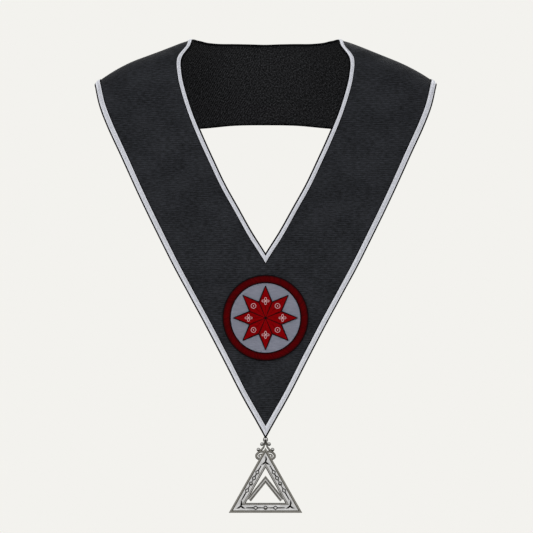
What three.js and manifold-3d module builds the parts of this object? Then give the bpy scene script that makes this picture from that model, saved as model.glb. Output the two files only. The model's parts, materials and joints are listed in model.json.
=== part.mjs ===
// A lodge officer's collar, as it hangs on the shoulders: two black ribbon panels that meet in a deep V,
// a back panel behind the neck, a dark lining, silver lace along both edges, an embroidered roundel above
// the point, and a pierced silver jewel that swings from a small loop behind the point.
//
// Millimetres. X runs to the viewer's right, Y to the back, Z up. The origin is the middle of the neck
// opening, level with the top of the shoulders.

import * as THREE from 'three';
import { mergeVertices } from 'three/addons/utils/BufferGeometryUtils.js';
import Module from 'manifold-3d';

const radians = THREE.MathUtils.degToRad;

// Cloth thicknesses and the gaps between layers.
const RIBBON_THICKNESS = 1.6;
const LINING_THICKNESS = 1.0;
const LINING_INSET = 2.0;
const LAYER_GAP = 0.3;
const SEAM_GAP = 0.3;

// The collar's outline, measured along the cloth from the top of the shoulder.
const HEM_HALF_WIDTH = 211;
const NECK_HALF_WIDTH = 104.5;
const HEM_FRONT_LENGTH = 550.7;
const NECK_FRONT_LENGTH = 322.2;
const NECK_BACK_LENGTH = 61;
const BACK_BAND_DEPTH = 101.7;

// The silver lace along the edges.
const EDGE_MARGIN = 1.8;
const NECK_LACE_WIDTH = 4.0;
const HEM_LACE_WIDTH = 5.0;
const LACE_EDGE_HEIGHT = 0.5;
const LACE_CROWN_HEIGHT = 0.9;

// The shoulders and chest that the cloth follows.
const SHOULDER_FRONT_RADIUS = 48;
const SHOULDER_FRONT_TURN = radians(62);
const CHEST_RADIUS = 500;
const SHOULDER_BACK_RADIUS = 60;
const SHOULDER_BACK_TURN = radians(80);
const NAPE_RISE = 24;
const NAPE_SOFTNESS = 40;
const SHOULDER_SLOPE = 0.4;
const SHOULDER_STEP = 1.3;
const SHOULDER_STEP_PLACE = 93;
const SHOULDER_STEP_WIDTH = 8;
const ARM_START = 155;
const ARM_FALL = 0.003;
const TORSO_ROUNDING = 0.22;

// The embroidered roundel.
const ROUNDEL_DROP = 343;
const ROUNDEL_CORD_RADIUS = 52;
const ROUNDEL_CORD_WIDTH = 8.2;
const ROUNDEL_CORD_HEIGHT = 2.4;
const ROUNDEL_BORDER = 1.1;
const CORD_EDGE_HEIGHT = 0.4;
const BADGE_BACKING_THICKNESS = 0.5;
const BADGE_FIELD_THICKNESS = 0.4;
const STAR_RADIUS = 39.5;
const STAR_WAIST = 0.541;
const STAR_RAYS = 8;
const STAR_LINE = 1.0;
const STAR_GROUND_THICKNESS = 0.3;
const RAY_THICKNESS = 0.5;
const MOTIF_RADIUS = 4.5;
const MOTIF_PLACE = 0.53;
const MOTIF_THICKNESS = 0.3;
const FLOWER_WAIST = 0.55;
const KNOT_SHARE = 0.76;

// The jewel's loop, behind the point.
const LOOP_WIRE_RADIUS = 0.6;
const LOOP_BAR_LENGTH = 4.8;
const LOOP_SIDE_HEIGHT = 2.6;
const LOOP_TOP_HEIGHT = 5.2;
const LOOP_TOP_WIDTH = 1.8;
const LOOP_BELOW_POINT = 3.2;
const LOOP_PLATE_FOOT = 3.7;
const LOOP_PLATE_FOOT_WIDTH = 1.2;
const LOOP_PLATE_WIDTH = 9;
const LOOP_PLATE_TAPER = 7.6;
const LOOP_PLATE_HEIGHT = 15;
const LOOP_PLATE_THICKNESS = 1.0;

// The jewel: a pierced triangle with a square in it and scrolls above.
const BAIL_LENGTH = 2.9;
const BAIL_WALL = 1.4;
const BAIL_EDGE = 0.25;
const JEWEL_APEX_DROP = 8.1;
const JEWEL_BASE = 90.8;
const JEWEL_HEIGHT = 80.5;
const JEWEL_BAR_WIDTH = 12.3;
const JEWEL_THICKNESS = 2.0;
const OUTER_RIM_WIDTH = 2.6;
const INNER_RIM_WIDTH = 2.2;
const RIM_HEIGHT = 0.7;
const RIM_BEVEL = 0.4;
const RELIEF_HEIGHT = 0.6;
const BEAD_RADIUS = 2.1;
const BEAD_HEIGHT = 1.1;
const LOZENGE_LENGTH = 7.6;
const LOZENGE_WIDTH = 4.6;
const LOZENGE_TOP = 0.35;
const VEIN_WIDTH = 0.9;
const RIDGE_HEIGHT = 0.42;
const RIDGE_BELLY = 0.4;
const LEAF_DROP = 17.4;
const LEAF_LENGTH = 7.0;
const LEAF_WIDTH = 1.4;
const LEAF_ROOT = 0.3;
const SQUARE_PLACE = 0.430;
const SQUARE_SPREAD = radians(9.4);
const SQUARE_OVERLAP = 1.2;
const SQUARE_ARM_WIDTH = 5.9;
const SQUARE_RISE = 0.5;
const SQUARE_RIB_WIDTH = 1.9;
const CREST_HEIGHT = 22.3;
const EAR_WIRE_RADIUS = 1.5;
const CREST_WIRE_RADIUS = 1.15;
const SIDE_WIRE_RADIUS = 1.4;
const HOOK_WIRE_RADIUS = 0.85;
const KNOB_RADIUS = 2.3;
const HOOK_KNOB_RADIUS = 1.2;

// How many sides and steps the round forms of the roundel and the jewel are made of.
const ROUND_SIDES = 48;
const DISC_RINGS = [0.5, 1];
const SCROLL_SIDES = 6;
const SCROLL_STEPS = 12;
const EAR_STEPS = 5;
const HOOK_STEPS = 7;
const KNOB_SIDES = 8;
const KNOB_LEVELS = 6;
const BEAD_SIDES = 10;
const BEAD_LEVELS = 5;
const STEM_SIDES = 10;
const BAIL_STEPS = 16;

// The collar's pattern, from the centre front up to the top of the shoulder. Each row is one line across
// the ribbon, from the neck edge to the hem. Out is a share of that edge's half width and along a share of
// its front length. Facets is how many steps the cloth takes from this row to the next.
const FRONT_ROWS = [
  { neckOut: 0.000, neckAlong: 1.000, hemOut: 0.000, hemAlong: 1.000, facets: 2 },
  { neckOut: 0.161, neckAlong: 0.913, hemOut: 0.133, hemAlong: 0.902, facets: 2 },
  { neckOut: 0.320, neckAlong: 0.810, hemOut: 0.256, hemAlong: 0.797, facets: 2 },
  { neckOut: 0.476, neckAlong: 0.704, hemOut: 0.383, hemAlong: 0.688, facets: 2 },
  { neckOut: 0.612, neckAlong: 0.595, hemOut: 0.516, hemAlong: 0.580, facets: 2 },
  { neckOut: 0.739, neckAlong: 0.487, hemOut: 0.643, hemAlong: 0.465, facets: 2 },
  { neckOut: 0.858, neckAlong: 0.376, hemOut: 0.755, hemAlong: 0.358, facets: 2 },
  { neckOut: 0.936, neckAlong: 0.284, hemOut: 0.852, hemAlong: 0.255, facets: 3 },
  { neckOut: 0.979, neckAlong: 0.210, hemOut: 0.926, hemAlong: 0.171, facets: 3 },
  { neckOut: 0.983, neckAlong: 0.142, hemOut: 0.977, hemAlong: 0.098, facets: 3 },
  { neckOut: 0.880, neckAlong: 0.080, hemOut: 0.998, hemAlong: 0.034, facets: 3 },
  { neckOut: 0.852, neckAlong: 0.000, hemOut: 0.998, hemAlong: 0.000, facets: 3 },
];

// The same from behind the shoulder to the centre back, with along as a share of the edge's back length.
// The first row is the shoulder seam.
const BACK_ROWS = [
  { neckOut: 0.815, neckAlong: 0.240, hemOut: 0.985, hemAlong: 0.260, facets: 3 },
  { neckOut: 0.760, neckAlong: 0.395, hemOut: 0.935, hemAlong: 0.430, facets: 2 },
  { neckOut: 0.680, neckAlong: 0.565, hemOut: 0.835, hemAlong: 0.600, facets: 2 },
  { neckOut: 0.545, neckAlong: 0.730, hemOut: 0.670, hemAlong: 0.757, facets: 2 },
  { neckOut: 0.383, neckAlong: 0.853, hemOut: 0.475, hemAlong: 0.866, facets: 2 },
  { neckOut: 0.190, neckAlong: 0.955, hemOut: 0.237, hemAlong: 0.950, facets: 2 },
  { neckOut: 0.000, neckAlong: 1.000, hemOut: 0.000, hemAlong: 1.000, facets: 2 },
];

// Where the lines of facets run across a panel, as shares of the way from neck edge to hem.
const PANEL_SHARES = [0.08, 0.36, 0.64, 0.92];

// The ornaments along the jewel's bars, as shares of the bar's length.
const SIDE_ORNAMENTS = [
  { place: 0.340, form: 'lozenge' },
  { place: 0.430, form: 'lozenge' },
  { place: 0.515, form: 'bead' },
  { place: 0.620, form: 'lozenge' },
];
const BASE_ORNAMENTS = [
  { place: 0.365, form: 'lozenge' },
  { place: 0.500, form: 'bead' },
  { place: 0.635, form: 'lozenge' },
];
const VEIN_START = 0.26;
const VEIN_END = 0.74;

// The stem between the bail and the scrolls. All of the crest's tables give shares of its height.
const CREST_STEM = [
  { radius: 0.076, below: 0.052 }, { radius: 0.098, below: 0.074 }, { radius: 0.112, below: 0.100 },
  { radius: 0.112, below: 0.125 }, { radius: 0.100, below: 0.152 }, { radius: 0.078, below: 0.178 },
  { radius: 0.022, below: 0.205 },
];

// The scrolls on the right of the crest. Each is a list of points below the loop, with how far they stand
// out from the triangle's edge, or from the middle line above the triangle.
const EAR_SCROLL = [
  { out: 0.030, below: 0.130 }, { out: 0.120, below: 0.153 }, { out: 0.200, below: 0.168 },
];
const CREST_SCROLL = [
  { out: 0.055, below: 0.183 }, { out: 0.079, below: 0.262 }, { out: 0.109, below: 0.341 },
  { out: 0.142, below: 0.420 }, { out: 0.170, below: 0.495 }, { out: 0.230, below: 0.530 },
  { out: 0.290, below: 0.515 }, { out: 0.331, below: 0.470 },
];
const SIDE_SCROLL = [
  { out: -0.025, below: 0.578 }, { out: 0.083, below: 0.582 }, { out: 0.190, below: 0.600 },
  { out: 0.259, below: 0.668 }, { out: 0.271, below: 0.776 }, { out: 0.196, below: 0.895 },
  { out: 0.066, below: 0.975 }, { out: -0.030, below: 1.000 },
];
const HOOK_SCROLL = [
  { out: -0.027, below: 0.725 }, { out: 0.075, below: 0.742 }, { out: 0.122, below: 0.795 },
  { out: 0.070, below: 0.858 },
];

// Materials

function material(color, roughness, metalness) {
  return new THREE.MeshStandardMaterial({ color, roughness, metalness });
}

const BLACK_RIBBON = material('#242629', 0.75, 0);
const DARK_LINING = material('#18191a', 0.85, 0);
const SILVER_LACE = material('#cdd0d8', 0.45, 0.3);
const BLACK_FELT = material('#0b0b0c', 0.9, 0);
const GREY_SATIN = material('#84858f', 0.55, 0);
const DARK_RED_CORD = material('#650004', 0.6, 0);
const RED_SATIN = material('#8e0003', 0.5, 0);
const PALE_THREAD = material('#c3bcbf', 0.5, 0);
const OLD_SILVER = material('#a3a3a2', 0.35, 1);

// The form that the cloth lies on

// How far back and how far down the form goes, at a distance along it from the top of the shoulder.
// A negative distance runs down the front.
function profile(along) {
  if (along >= 0) {
    const turned = Math.min(along / SHOULDER_BACK_RADIUS, SHOULDER_BACK_TURN);
    const straight = along - turned * SHOULDER_BACK_RADIUS;
    return {
      back: SHOULDER_BACK_RADIUS * Math.sin(turned) + straight * Math.cos(SHOULDER_BACK_TURN),
      down: SHOULDER_BACK_RADIUS * (1 - Math.cos(turned)) + straight * Math.sin(SHOULDER_BACK_TURN),
    };
  }
  const turned = Math.min(-along / SHOULDER_FRONT_RADIUS, SHOULDER_FRONT_TURN);
  const pastShoulder = -along - turned * SHOULDER_FRONT_RADIUS;
  const upright = Math.PI / 2;
  const chest = Math.min(SHOULDER_FRONT_TURN + pastShoulder / CHEST_RADIUS, upright);
  const straight = pastShoulder - (chest - SHOULDER_FRONT_TURN) * CHEST_RADIUS;
  return {
    back: -SHOULDER_FRONT_RADIUS * Math.sin(turned)
      - CHEST_RADIUS * (Math.sin(chest) - Math.sin(SHOULDER_FRONT_TURN)),
    down: SHOULDER_FRONT_RADIUS * (1 - Math.cos(turned))
      + CHEST_RADIUS * (Math.cos(SHOULDER_FRONT_TURN) - Math.cos(chest)) + straight,
  };
}

// The distance along the front at which the form has gone down by this much, past the chest's curve.
function alongBelowChest(down) {
  const chestLength = CHEST_RADIUS * (Math.PI / 2 - SHOULDER_FRONT_TURN);
  const upright = -(SHOULDER_FRONT_RADIUS * SHOULDER_FRONT_TURN + chestLength);
  return upright - (down - profile(upright).down);
}

function shoulderHeight(x) {
  const pastArm = Math.max(0, Math.abs(x) - ARM_START);
  const fall = SHOULDER_SLOPE * (Math.hypot(x, NAPE_SOFTNESS) - NAPE_SOFTNESS) + ARM_FALL * pastArm * pastArm;
  const step = SHOULDER_STEP * Math.tanh((Math.abs(x) - SHOULDER_STEP_PLACE) / SHOULDER_STEP_WIDTH);
  return NAPE_RISE - fall + step;
}

function formPoint(x, along) {
  const { back, down } = profile(along);
  const rounding = 1 - TORSO_ROUNDING * (x / HEM_HALF_WIDTH) ** 2;
  return new THREE.Vector3(x, back * rounding, shoulderHeight(x) - down);
}

const SLOPE_STEP = 0.01;

// A point at a height over the form, measured square to it. Below zero is towards the wearer.
function pointOver(x, along, height) {
  const acrossForm = formPoint(x + SLOPE_STEP, along).sub(formPoint(x - SLOPE_STEP, along));
  const downForm = formPoint(x, along - SLOPE_STEP).sub(formPoint(x, along + SLOPE_STEP));
  const outward = downForm.cross(acrossForm).normalize();
  return formPoint(x, along).addScaledVector(outward, height);
}

// The same for a point of the front, seen from the front.
function pointOnChest(x, z, height) {
  return pointOver(x, alongBelowChest(shoulderHeight(x) - z), height);
}

// The collar's pattern on that form

// The outline of one edge, from the point up the right side, round the back and down the left side.
function edgeLine(out, along, halfWidth, frontLength, backLength) {
  const right = [
    ...FRONT_ROWS.map((row) => new THREE.Vector2(row[out] * halfWidth, -row[along] * frontLength)),
    ...BACK_ROWS.map((row) => new THREE.Vector2(row[out] * halfWidth, row[along] * backLength)),
  ];
  const left = right.slice(0, -1).reverse().map((point) => new THREE.Vector2(-point.x, point.y));
  return new THREE.SplineCurve([...right, ...left]);
}

const NECK_LINE = edgeLine('neckOut', 'neckAlong', NECK_HALF_WIDTH, NECK_FRONT_LENGTH, NECK_BACK_LENGTH);
const HEM_LINE = edgeLine(
  'hemOut', 'hemAlong', HEM_HALF_WIDTH, HEM_FRONT_LENGTH, NECK_BACK_LENGTH + BACK_BAND_DEPTH,
);
const SEAM_ROW = FRONT_ROWS.length;
const LAST_ROW = 2 * (FRONT_ROWS.length + BACK_ROWS.length - 1);

// The rows that a piece is built on, from one row number to another. Rows count from the centre front, up
// the right side, round the back and down the left side.
function rowsBetween(first, last) {
  const half = [...FRONT_ROWS, ...BACK_ROWS];
  const rows = [];
  for (let row = first; row < last; row += 1) {
    const mirrored = LAST_ROW - 1 - row;
    const { facets } = half[row < LAST_ROW / 2 ? row : mirrored];
    for (let facet = 0; facet < facets; facet += 1) rows.push(row + facet / facets);
  }
  rows.push(last);
  return rows;
}

// A point of the pattern: share runs from the neck edge, 0, to the hem, 1.
function clothPoint(row, share, height, clearOfMiddle = 0) {
  const neck = NECK_LINE.getPoint(row / LAST_ROW);
  const hem = HEM_LINE.getPoint(row / LAST_ROW);
  const place = neck.lerp(hem, share);
  const side = row > LAST_ROW / 2 ? -1 : 1;
  const x = clearOfMiddle ? side * Math.max(side * place.x, clearOfMiddle) : place.x;
  return pointOver(x, place.y, height);
}

const ROW_STEP = 0.02;

// The share of the way across at which a line parallel to an edge, this far from it, crosses a row.
function shareAtDistance(row, edge, distance) {
  const before = clothPoint(Math.max(row - ROW_STEP, 0), edge, 0);
  const after = clothPoint(Math.min(row + ROW_STEP, LAST_ROW), edge, 0);
  const tangent = after.sub(before).normalize();
  const across = clothPoint(row, 1 - edge, 0).sub(clothPoint(row, edge, 0));
  const slant = across.clone().normalize().cross(tangent).length();
  const share = distance / slant / across.length();
  return edge === 0 ? share : 1 - share;
}

// Solids

function closedBody(points, triangles) {
  const geometry = new THREE.BufferGeometry();
  geometry.setAttribute('position', new THREE.Float32BufferAttribute(points.flatMap((p) => p.toArray()), 3));
  const volume = triangles.reduce((sum, [a, b, c]) => {
    const corner = points[b].clone().cross(points[c]);
    return sum + points[a].dot(corner);
  }, 0);
  const outward = volume < 0 ? triangles.map(([a, b, c]) => [a, c, b]) : triangles;
  geometry.setIndex(outward.flat());
  geometry.computeVertexNormals();
  return geometry;
}

// A solid through a row of sections with as many points each: the first half of a section is its upper
// side, the second its lower side, running back. Both sides are split along the same slants, so layers
// that lie on each other stay apart. An open solid is closed at its ends by strips between the two sides.
function loft(sections, isLoop) {
  const count = sections[0].length;
  const triangles = [];
  const quad = (a, b, c, d) => triangles.push([a, b, c], [a, c, d]);
  const spans = isLoop ? sections.length : sections.length - 1;
  for (let i = 0; i < spans; i += 1) {
    const here = i * count;
    const next = ((i + 1) % sections.length) * count;
    for (let j = 0; j < count; j += 1) {
      const k = (j + 1) % count;
      if (j < count / 2 - 1) quad(here + j, next + j, next + k, here + k);
      else quad(here + k, here + j, next + j, next + k);
    }
  }
  if (!isLoop) {
    const end = (sections.length - 1) * count;
    for (let j = 0; j < count / 2 - 1; j += 1) {
      const k = count - 1 - j;
      quad(j, j + 1, k - 1, k);
      quad(end + k, end + k - 1, end + j + 1, end + j);
    }
  }
  return closedBody(sections.flat(), triangles);
}

// A flat piece of embroidery: a star-shaped outline about a centre, filled through inner rings, that
// follows the chest between two heights. Outline points are across and up from the roundel's centre.
function patch(centre, outline, ringShares, low, high) {
  const place = (x, y, height) => pointOnChest(x, y - ROUNDEL_DROP, height);
  const rim = outline.length;
  const layer = (height) => [
    place(centre.x, centre.y, height),
    ...ringShares.flatMap((share) => outline.map(
      (p) => place(centre.x + (p.x - centre.x) * share, centre.y + (p.y - centre.y) * share, height),
    )),
  ];
  const points = [...layer(high), ...layer(low)];
  const lower = points.length / 2;
  const triangles = [];
  for (let j = 0; j < rim; j += 1) {
    const k = (j + 1) % rim;
    triangles.push([0, 1 + j, 1 + k], [lower, lower + 1 + k, lower + 1 + j]);
    for (let ring = 1; ring < ringShares.length; ring += 1) {
      const inner = 1 + (ring - 1) * rim;
      const outer = 1 + ring * rim;
      for (const [base, a, b] of [[0, j, k], [lower, k, j]]) {
        triangles.push([base + inner + a, base + outer + a, base + outer + b]);
        triangles.push([base + inner + a, base + outer + b, base + inner + b]);
      }
    }
    const edge = 1 + (ringShares.length - 1) * rim;
    triangles.push([edge + j, lower + edge + j, lower + edge + k], [edge + j, lower + edge + k, edge + k]);
  }
  return closedBody(points, triangles);
}

function polar(radius, angle) {
  return new THREE.Vector2(-radius * Math.sin(angle), radius * Math.cos(angle));
}

function regularOutline(count, radiusAt) {
  return Array.from({ length: count }, (_, i) => polar(radiusAt(i), (2 * Math.PI * i) / count));
}

// A convex outline moved in by a distance on every side.
function insetOutline(outline, distance) {
  const count = outline.length;
  return outline.map((corner, i) => {
    const toNext = outline[(i + 1) % count].clone().sub(corner).normalize();
    const toLast = outline[(i + count - 1) % count].clone().sub(corner).normalize();
    const inward = toNext.clone().add(toLast).normalize();
    const reach = distance / Math.abs(inward.cross(toNext));
    return corner.clone().addScaledVector(inward, reach);
  });
}

// Cloth pieces

// A panel between two rows, this far in from both edges, from one height over the form to another.
function clothPanel(first, last, inset, high, low) {
  const meetsAtPoint = first === 0 || last === LAST_ROW;
  const clearOfMiddle = meetsAtPoint ? SEAM_GAP / 2 : 0;
  const sections = rowsBetween(first, last).map((row) => {
    const shares = [shareAtDistance(row, 0, inset), ...PANEL_SHARES, shareAtDistance(row, 1, inset)];
    return [
      ...shares.map((share) => clothPoint(row, share, high, clearOfMiddle)),
      ...shares.toReversed().map((share) => clothPoint(row, share, low, clearOfMiddle)),
    ];
  });
  return loft(trimmedAtSeams(sections, first, last), false);
}

function ribbonPanel(first, last) {
  return clothPanel(first, last, 0, 0, -RIBBON_THICKNESS);
}

function liningPanel(first, last) {
  const outer = -RIBBON_THICKNESS - LAYER_GAP;
  return clothPanel(first, last, LINING_INSET, outer, outer - LINING_THICKNESS);
}

// Draws the end sections back from the shoulder seams by half the seam's gap.
function trimmedAtSeams(sections, first, last) {
  const drawBack = (section, neighbour) => section.map((point, i) => {
    const towards = neighbour[i].clone().sub(point).normalize();
    return point.clone().addScaledVector(towards, SEAM_GAP / 2);
  });
  const trimmed = [...sections];
  const end = sections.length - 1;
  if (first !== 0) trimmed[0] = drawBack(sections[0], sections[1]);
  if (last !== LAST_ROW) trimmed[end] = drawBack(sections[end], sections[end - 1]);
  return trimmed;
}

function laceBorder(edge, width) {
  const rows = rowsBetween(0, LAST_ROW).slice(0, -1);
  const sections = rows.map((row) => {
    const shareAt = (distance) => shareAtDistance(row, edge, distance);
    const near = shareAt(EDGE_MARGIN);
    const middle = shareAt(EDGE_MARGIN + width / 2);
    const far = shareAt(EDGE_MARGIN + width);
    return [
      clothPoint(row, near, LAYER_GAP + LACE_EDGE_HEIGHT),
      clothPoint(row, middle, LAYER_GAP + LACE_CROWN_HEIGHT),
      clothPoint(row, far, LAYER_GAP + LACE_EDGE_HEIGHT),
      clothPoint(row, far, LAYER_GAP),
      clothPoint(row, near, LAYER_GAP),
    ];
  });
  return loft(sections, true);
}

// The roundel

const FIELD_LOW = LAYER_GAP + BADGE_BACKING_THICKNESS + LAYER_GAP;
const FIELD_HIGH = FIELD_LOW + BADGE_FIELD_THICKNESS;
const GROUND_LOW = FIELD_HIGH + LAYER_GAP;
const GROUND_HIGH = GROUND_LOW + STAR_GROUND_THICKNESS;
const RAY_LOW = GROUND_HIGH + LAYER_GAP;
const RAY_HIGH = RAY_LOW + RAY_THICKNESS;
const MOTIF_LOW = RAY_HIGH + LAYER_GAP;
const ROUNDEL_CENTRE = new THREE.Vector2(0, 0);

function roundelDisc(radius, low, high) {
  return patch(ROUNDEL_CENTRE, regularOutline(ROUND_SIDES, () => radius), DISC_RINGS, low, high);
}

function roundelCord() {
  const radius = ROUNDEL_CORD_RADIUS - ROUNDEL_CORD_WIDTH / 2;
  const half = ROUNDEL_CORD_WIDTH / 2;
  const profilePoints = [0, 45, 90, 135, 180].map((degrees) => ({
    out: half * Math.cos(radians(degrees)),
    up: FIELD_LOW + CORD_EDGE_HEIGHT + (ROUNDEL_CORD_HEIGHT - CORD_EDGE_HEIGHT) * Math.sin(radians(degrees)),
  }));
  profilePoints.push({ out: -half, up: FIELD_LOW }, { out: half, up: FIELD_LOW });
  const sections = Array.from({ length: ROUND_SIDES }, (_, i) => {
    const angle = (2 * Math.PI * i) / ROUND_SIDES;
    return profilePoints.map(({ out, up }) => {
      const p = polar(radius + out, angle);
      return pointOnChest(p.x, p.y - ROUNDEL_DROP, up);
    });
  });
  return loft(sections, true);
}

// The star's outline, grown on every side. Its sharp points grow by twice as much.
function starOutline(grow) {
  const radius = (i) => (i % 2 === 0 ? STAR_RADIUS + 2 * grow : STAR_RADIUS * STAR_WAIST + grow);
  return regularOutline(2 * STAR_RAYS, radius);
}

function starRay(index) {
  const pitch = Math.PI / STAR_RAYS;
  const angle = 2 * pitch * index;
  const outline = insetOutline([
    ROUNDEL_CENTRE,
    polar(STAR_RADIUS * STAR_WAIST, angle - pitch),
    polar(STAR_RADIUS, angle),
    polar(STAR_RADIUS * STAR_WAIST, angle + pitch),
  ], STAR_LINE / 2);
  return patch(polar(STAR_RADIUS * STAR_WAIST, angle), outline, [1], RAY_LOW, RAY_HIGH);
}

// A small four-petalled flower on every other ray, and a small round knot on the rest.
function starMotif(index) {
  const centre = polar(STAR_RADIUS * MOTIF_PLACE, (2 * Math.PI * index) / STAR_RAYS);
  const isFlower = index % 2 === 0;
  const size = isFlower ? MOTIF_RADIUS : MOTIF_RADIUS * KNOT_SHARE;
  const waist = isFlower ? FLOWER_WAIST : 1;
  const outline = regularOutline(8, (i) => size * (i % 2 === 0 ? 1 : waist)).map((p) => p.add(centre));
  return patch(centre, outline, [1], MOTIF_LOW, MOTIF_LOW + MOTIF_THICKNESS);
}

// The jewel and its loop, made in the jewel's own plane: x across, y up, z to the front

const wasm = await Module();
wasm.setup();

const MERGE_DISTANCE = 1e-4;

function solid(geometry) {
  const bare = geometry.clone();
  bare.deleteAttribute('normal');
  bare.deleteAttribute('uv');
  const merged = mergeVertices(bare, MERGE_DISTANCE);
  const index = merged.index.array;
  const kept = [];
  for (let i = 0; i < index.length; i += 3) {
    const [a, b, c] = [index[i], index[i + 1], index[i + 2]];
    if (a !== b && b !== c && a !== c) kept.push(a, b, c);
  }
  return new wasm.Manifold(new wasm.Mesh({
    numProp: 3,
    vertProperties: new Float32Array(merged.attributes.position.array),
    triVerts: new Uint32Array(kept),
  }));
}

function geometryOf(body) {
  const mesh = body.getMesh();
  const geometry = new THREE.BufferGeometry();
  geometry.setAttribute('position', new THREE.Float32BufferAttribute(mesh.vertProperties, 3));
  geometry.setIndex(Array.from(mesh.triVerts));
  return geometry;
}

function joined(bodies) {
  return bodies.reduce((whole, body) => whole.add(body));
}

function plate(outline, low, high) {
  const shape = new THREE.Shape(outline);
  const geometry = new THREE.ExtrudeGeometry(shape, { depth: high - low, bevelEnabled: false });
  return solid(geometry.translate(0, 0, low));
}

function wire(points, radius, steps) {
  const section = new THREE.Shape(regularOutline(SCROLL_SIDES, () => radius));
  const path = new THREE.CatmullRomCurve3(points);
  return solid(new THREE.ExtrudeGeometry(section, { extrudePath: path, steps, bevelEnabled: false }));
}

const JEWEL_BACK = -JEWEL_THICKNESS / 2;
const JEWEL_FACE = JEWEL_THICKNESS / 2;
const APEX = new THREE.Vector2(0, -JEWEL_APEX_DROP);
const LEFT_CORNER = new THREE.Vector2(-JEWEL_BASE / 2, -JEWEL_APEX_DROP - JEWEL_HEIGHT);
const RIGHT_CORNER = new THREE.Vector2(JEWEL_BASE / 2, -JEWEL_APEX_DROP - JEWEL_HEIGHT);
const TRIANGLE = [APEX, LEFT_CORNER, RIGHT_CORNER];
const SIDE_TURN = Math.atan2(JEWEL_BASE / 2, JEWEL_HEIGHT);

// The pierced triangle: one section with a raised rim at each side, carried round the three corners.
function frame() {
  const rimTop = JEWEL_FACE + RIM_HEIGHT;
  const innerRim = JEWEL_BAR_WIDTH - INNER_RIM_WIDTH;
  const section = [
    { inset: 0, up: JEWEL_BACK },
    { inset: 0, up: rimTop - RIM_BEVEL },
    { inset: RIM_BEVEL, up: rimTop },
    { inset: OUTER_RIM_WIDTH - RIM_BEVEL, up: rimTop },
    { inset: OUTER_RIM_WIDTH, up: JEWEL_FACE },
    { inset: innerRim, up: JEWEL_FACE },
    { inset: innerRim + RIM_BEVEL, up: rimTop },
    { inset: JEWEL_BAR_WIDTH - RIM_BEVEL, up: rimTop },
    { inset: JEWEL_BAR_WIDTH, up: rimTop - RIM_BEVEL },
    { inset: JEWEL_BAR_WIDTH, up: JEWEL_BACK },
  ];
  const sections = TRIANGLE.map((_, corner) => section.map(({ inset, up }) => {
    const place = insetOutline(TRIANGLE, inset)[corner];
    return new THREE.Vector3(place.x, place.y, up);
  }));
  return solid(loft(sections, true));
}

// A low pyramid, with its point cut off, on the jewel's face.
function lozenge(centre, angle) {
  const base = new THREE.CylinderGeometry(LOZENGE_TOP, 1, RELIEF_HEIGHT + JEWEL_FACE, 4, 1);
  base.rotateX(Math.PI / 2);
  base.scale(LOZENGE_WIDTH / 2, LOZENGE_LENGTH / 2, 1);
  base.rotateZ(angle);
  base.translate(centre.x, centre.y, (RELIEF_HEIGHT + JEWEL_FACE) / 2);
  return solid(base);
}

function bead(centre) {
  const ball = new THREE.SphereGeometry(BEAD_RADIUS, BEAD_SIDES, BEAD_LEVELS);
  ball.rotateX(Math.PI / 2);
  ball.scale(1, 1, BEAD_HEIGHT / BEAD_RADIUS);
  ball.translate(centre.x, centre.y, JEWEL_FACE);
  return solid(ball);
}

// A ridge with pointed ends, from one point of the face to another.
function ridge(from, to, width) {
  const along = to.clone().sub(from);
  const side = new THREE.Vector2(-along.y, along.x).normalize().multiplyScalar(width / 2);
  const middle = from.clone().lerp(to, RIDGE_BELLY);
  const outline = [from, middle.clone().sub(side), to, middle.clone().add(side)];
  return plate(outline, 0, JEWEL_FACE + RIDGE_HEIGHT);
}

function barOrnaments(from, to, ornaments, inward) {
  const at = (share) => from.clone().lerp(to, share).addScaledVector(inward, JEWEL_BAR_WIDTH / 2);
  const angle = Math.atan2(to.y - from.y, to.x - from.x) - Math.PI / 2;
  const vein = ridge(at(VEIN_START), at(VEIN_END), VEIN_WIDTH);
  return [
    vein,
    ...ornaments.map(({ place, form }) => (form === 'bead' ? bead(at(place)) : lozenge(at(place), angle))),
  ];
}

// Three leaves that meet in a corner of the triangle.
function cornerLeaves(corner, inwardAngle) {
  const heart = corner.clone().add(polar(LEAF_DROP, inwardAngle));
  return [0, 120, 240].map((turn) => {
    const tip = heart.clone().add(polar(LEAF_LENGTH, radians(turn)));
    return ridge(heart.clone().add(polar(LEAF_ROOT, radians(turn))), tip, LEAF_WIDTH);
  });
}

// A layer of the square between two distances in from its outer edge. Its arms open a little wider than
// the triangle's sides and end just past their inner edges.
function squareLayer(near, far, high) {
  const halfAngle = SIDE_TURN + SQUARE_SPREAD;
  const drop = JEWEL_APEX_DROP + SQUARE_PLACE * JEWEL_HEIGHT;
  const toFrame = (drop - JEWEL_APEX_DROP) * Math.sin(SIDE_TURN) - JEWEL_BAR_WIDTH;
  const length = (toFrame + SQUARE_OVERLAP) / Math.sin(SQUARE_SPREAD);
  const mitre = 1 / Math.tan(halfAngle);
  const corner = (side, distance, depth) => new THREE.Vector2(
    side * (distance * Math.sin(halfAngle) - depth * Math.cos(halfAngle)),
    -drop - distance * Math.cos(halfAngle) - depth * Math.sin(halfAngle),
  );
  return plate([
    corner(-1, length, near), corner(0, near * mitre, near), corner(1, length, near),
    corner(1, length, far), corner(0, far * mitre, far), corner(-1, length, far),
  ], -SQUARE_RISE, high);
}

// A point of the crest, on the right or the left, from its shares.
function crestPlace(side, { out, below }) {
  const drop = below * CREST_HEIGHT;
  const edge = Math.max(0, drop - JEWEL_APEX_DROP) * Math.tan(SIDE_TURN);
  return new THREE.Vector3(side * (edge + out * CREST_HEIGHT), -drop, 0);
}

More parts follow.
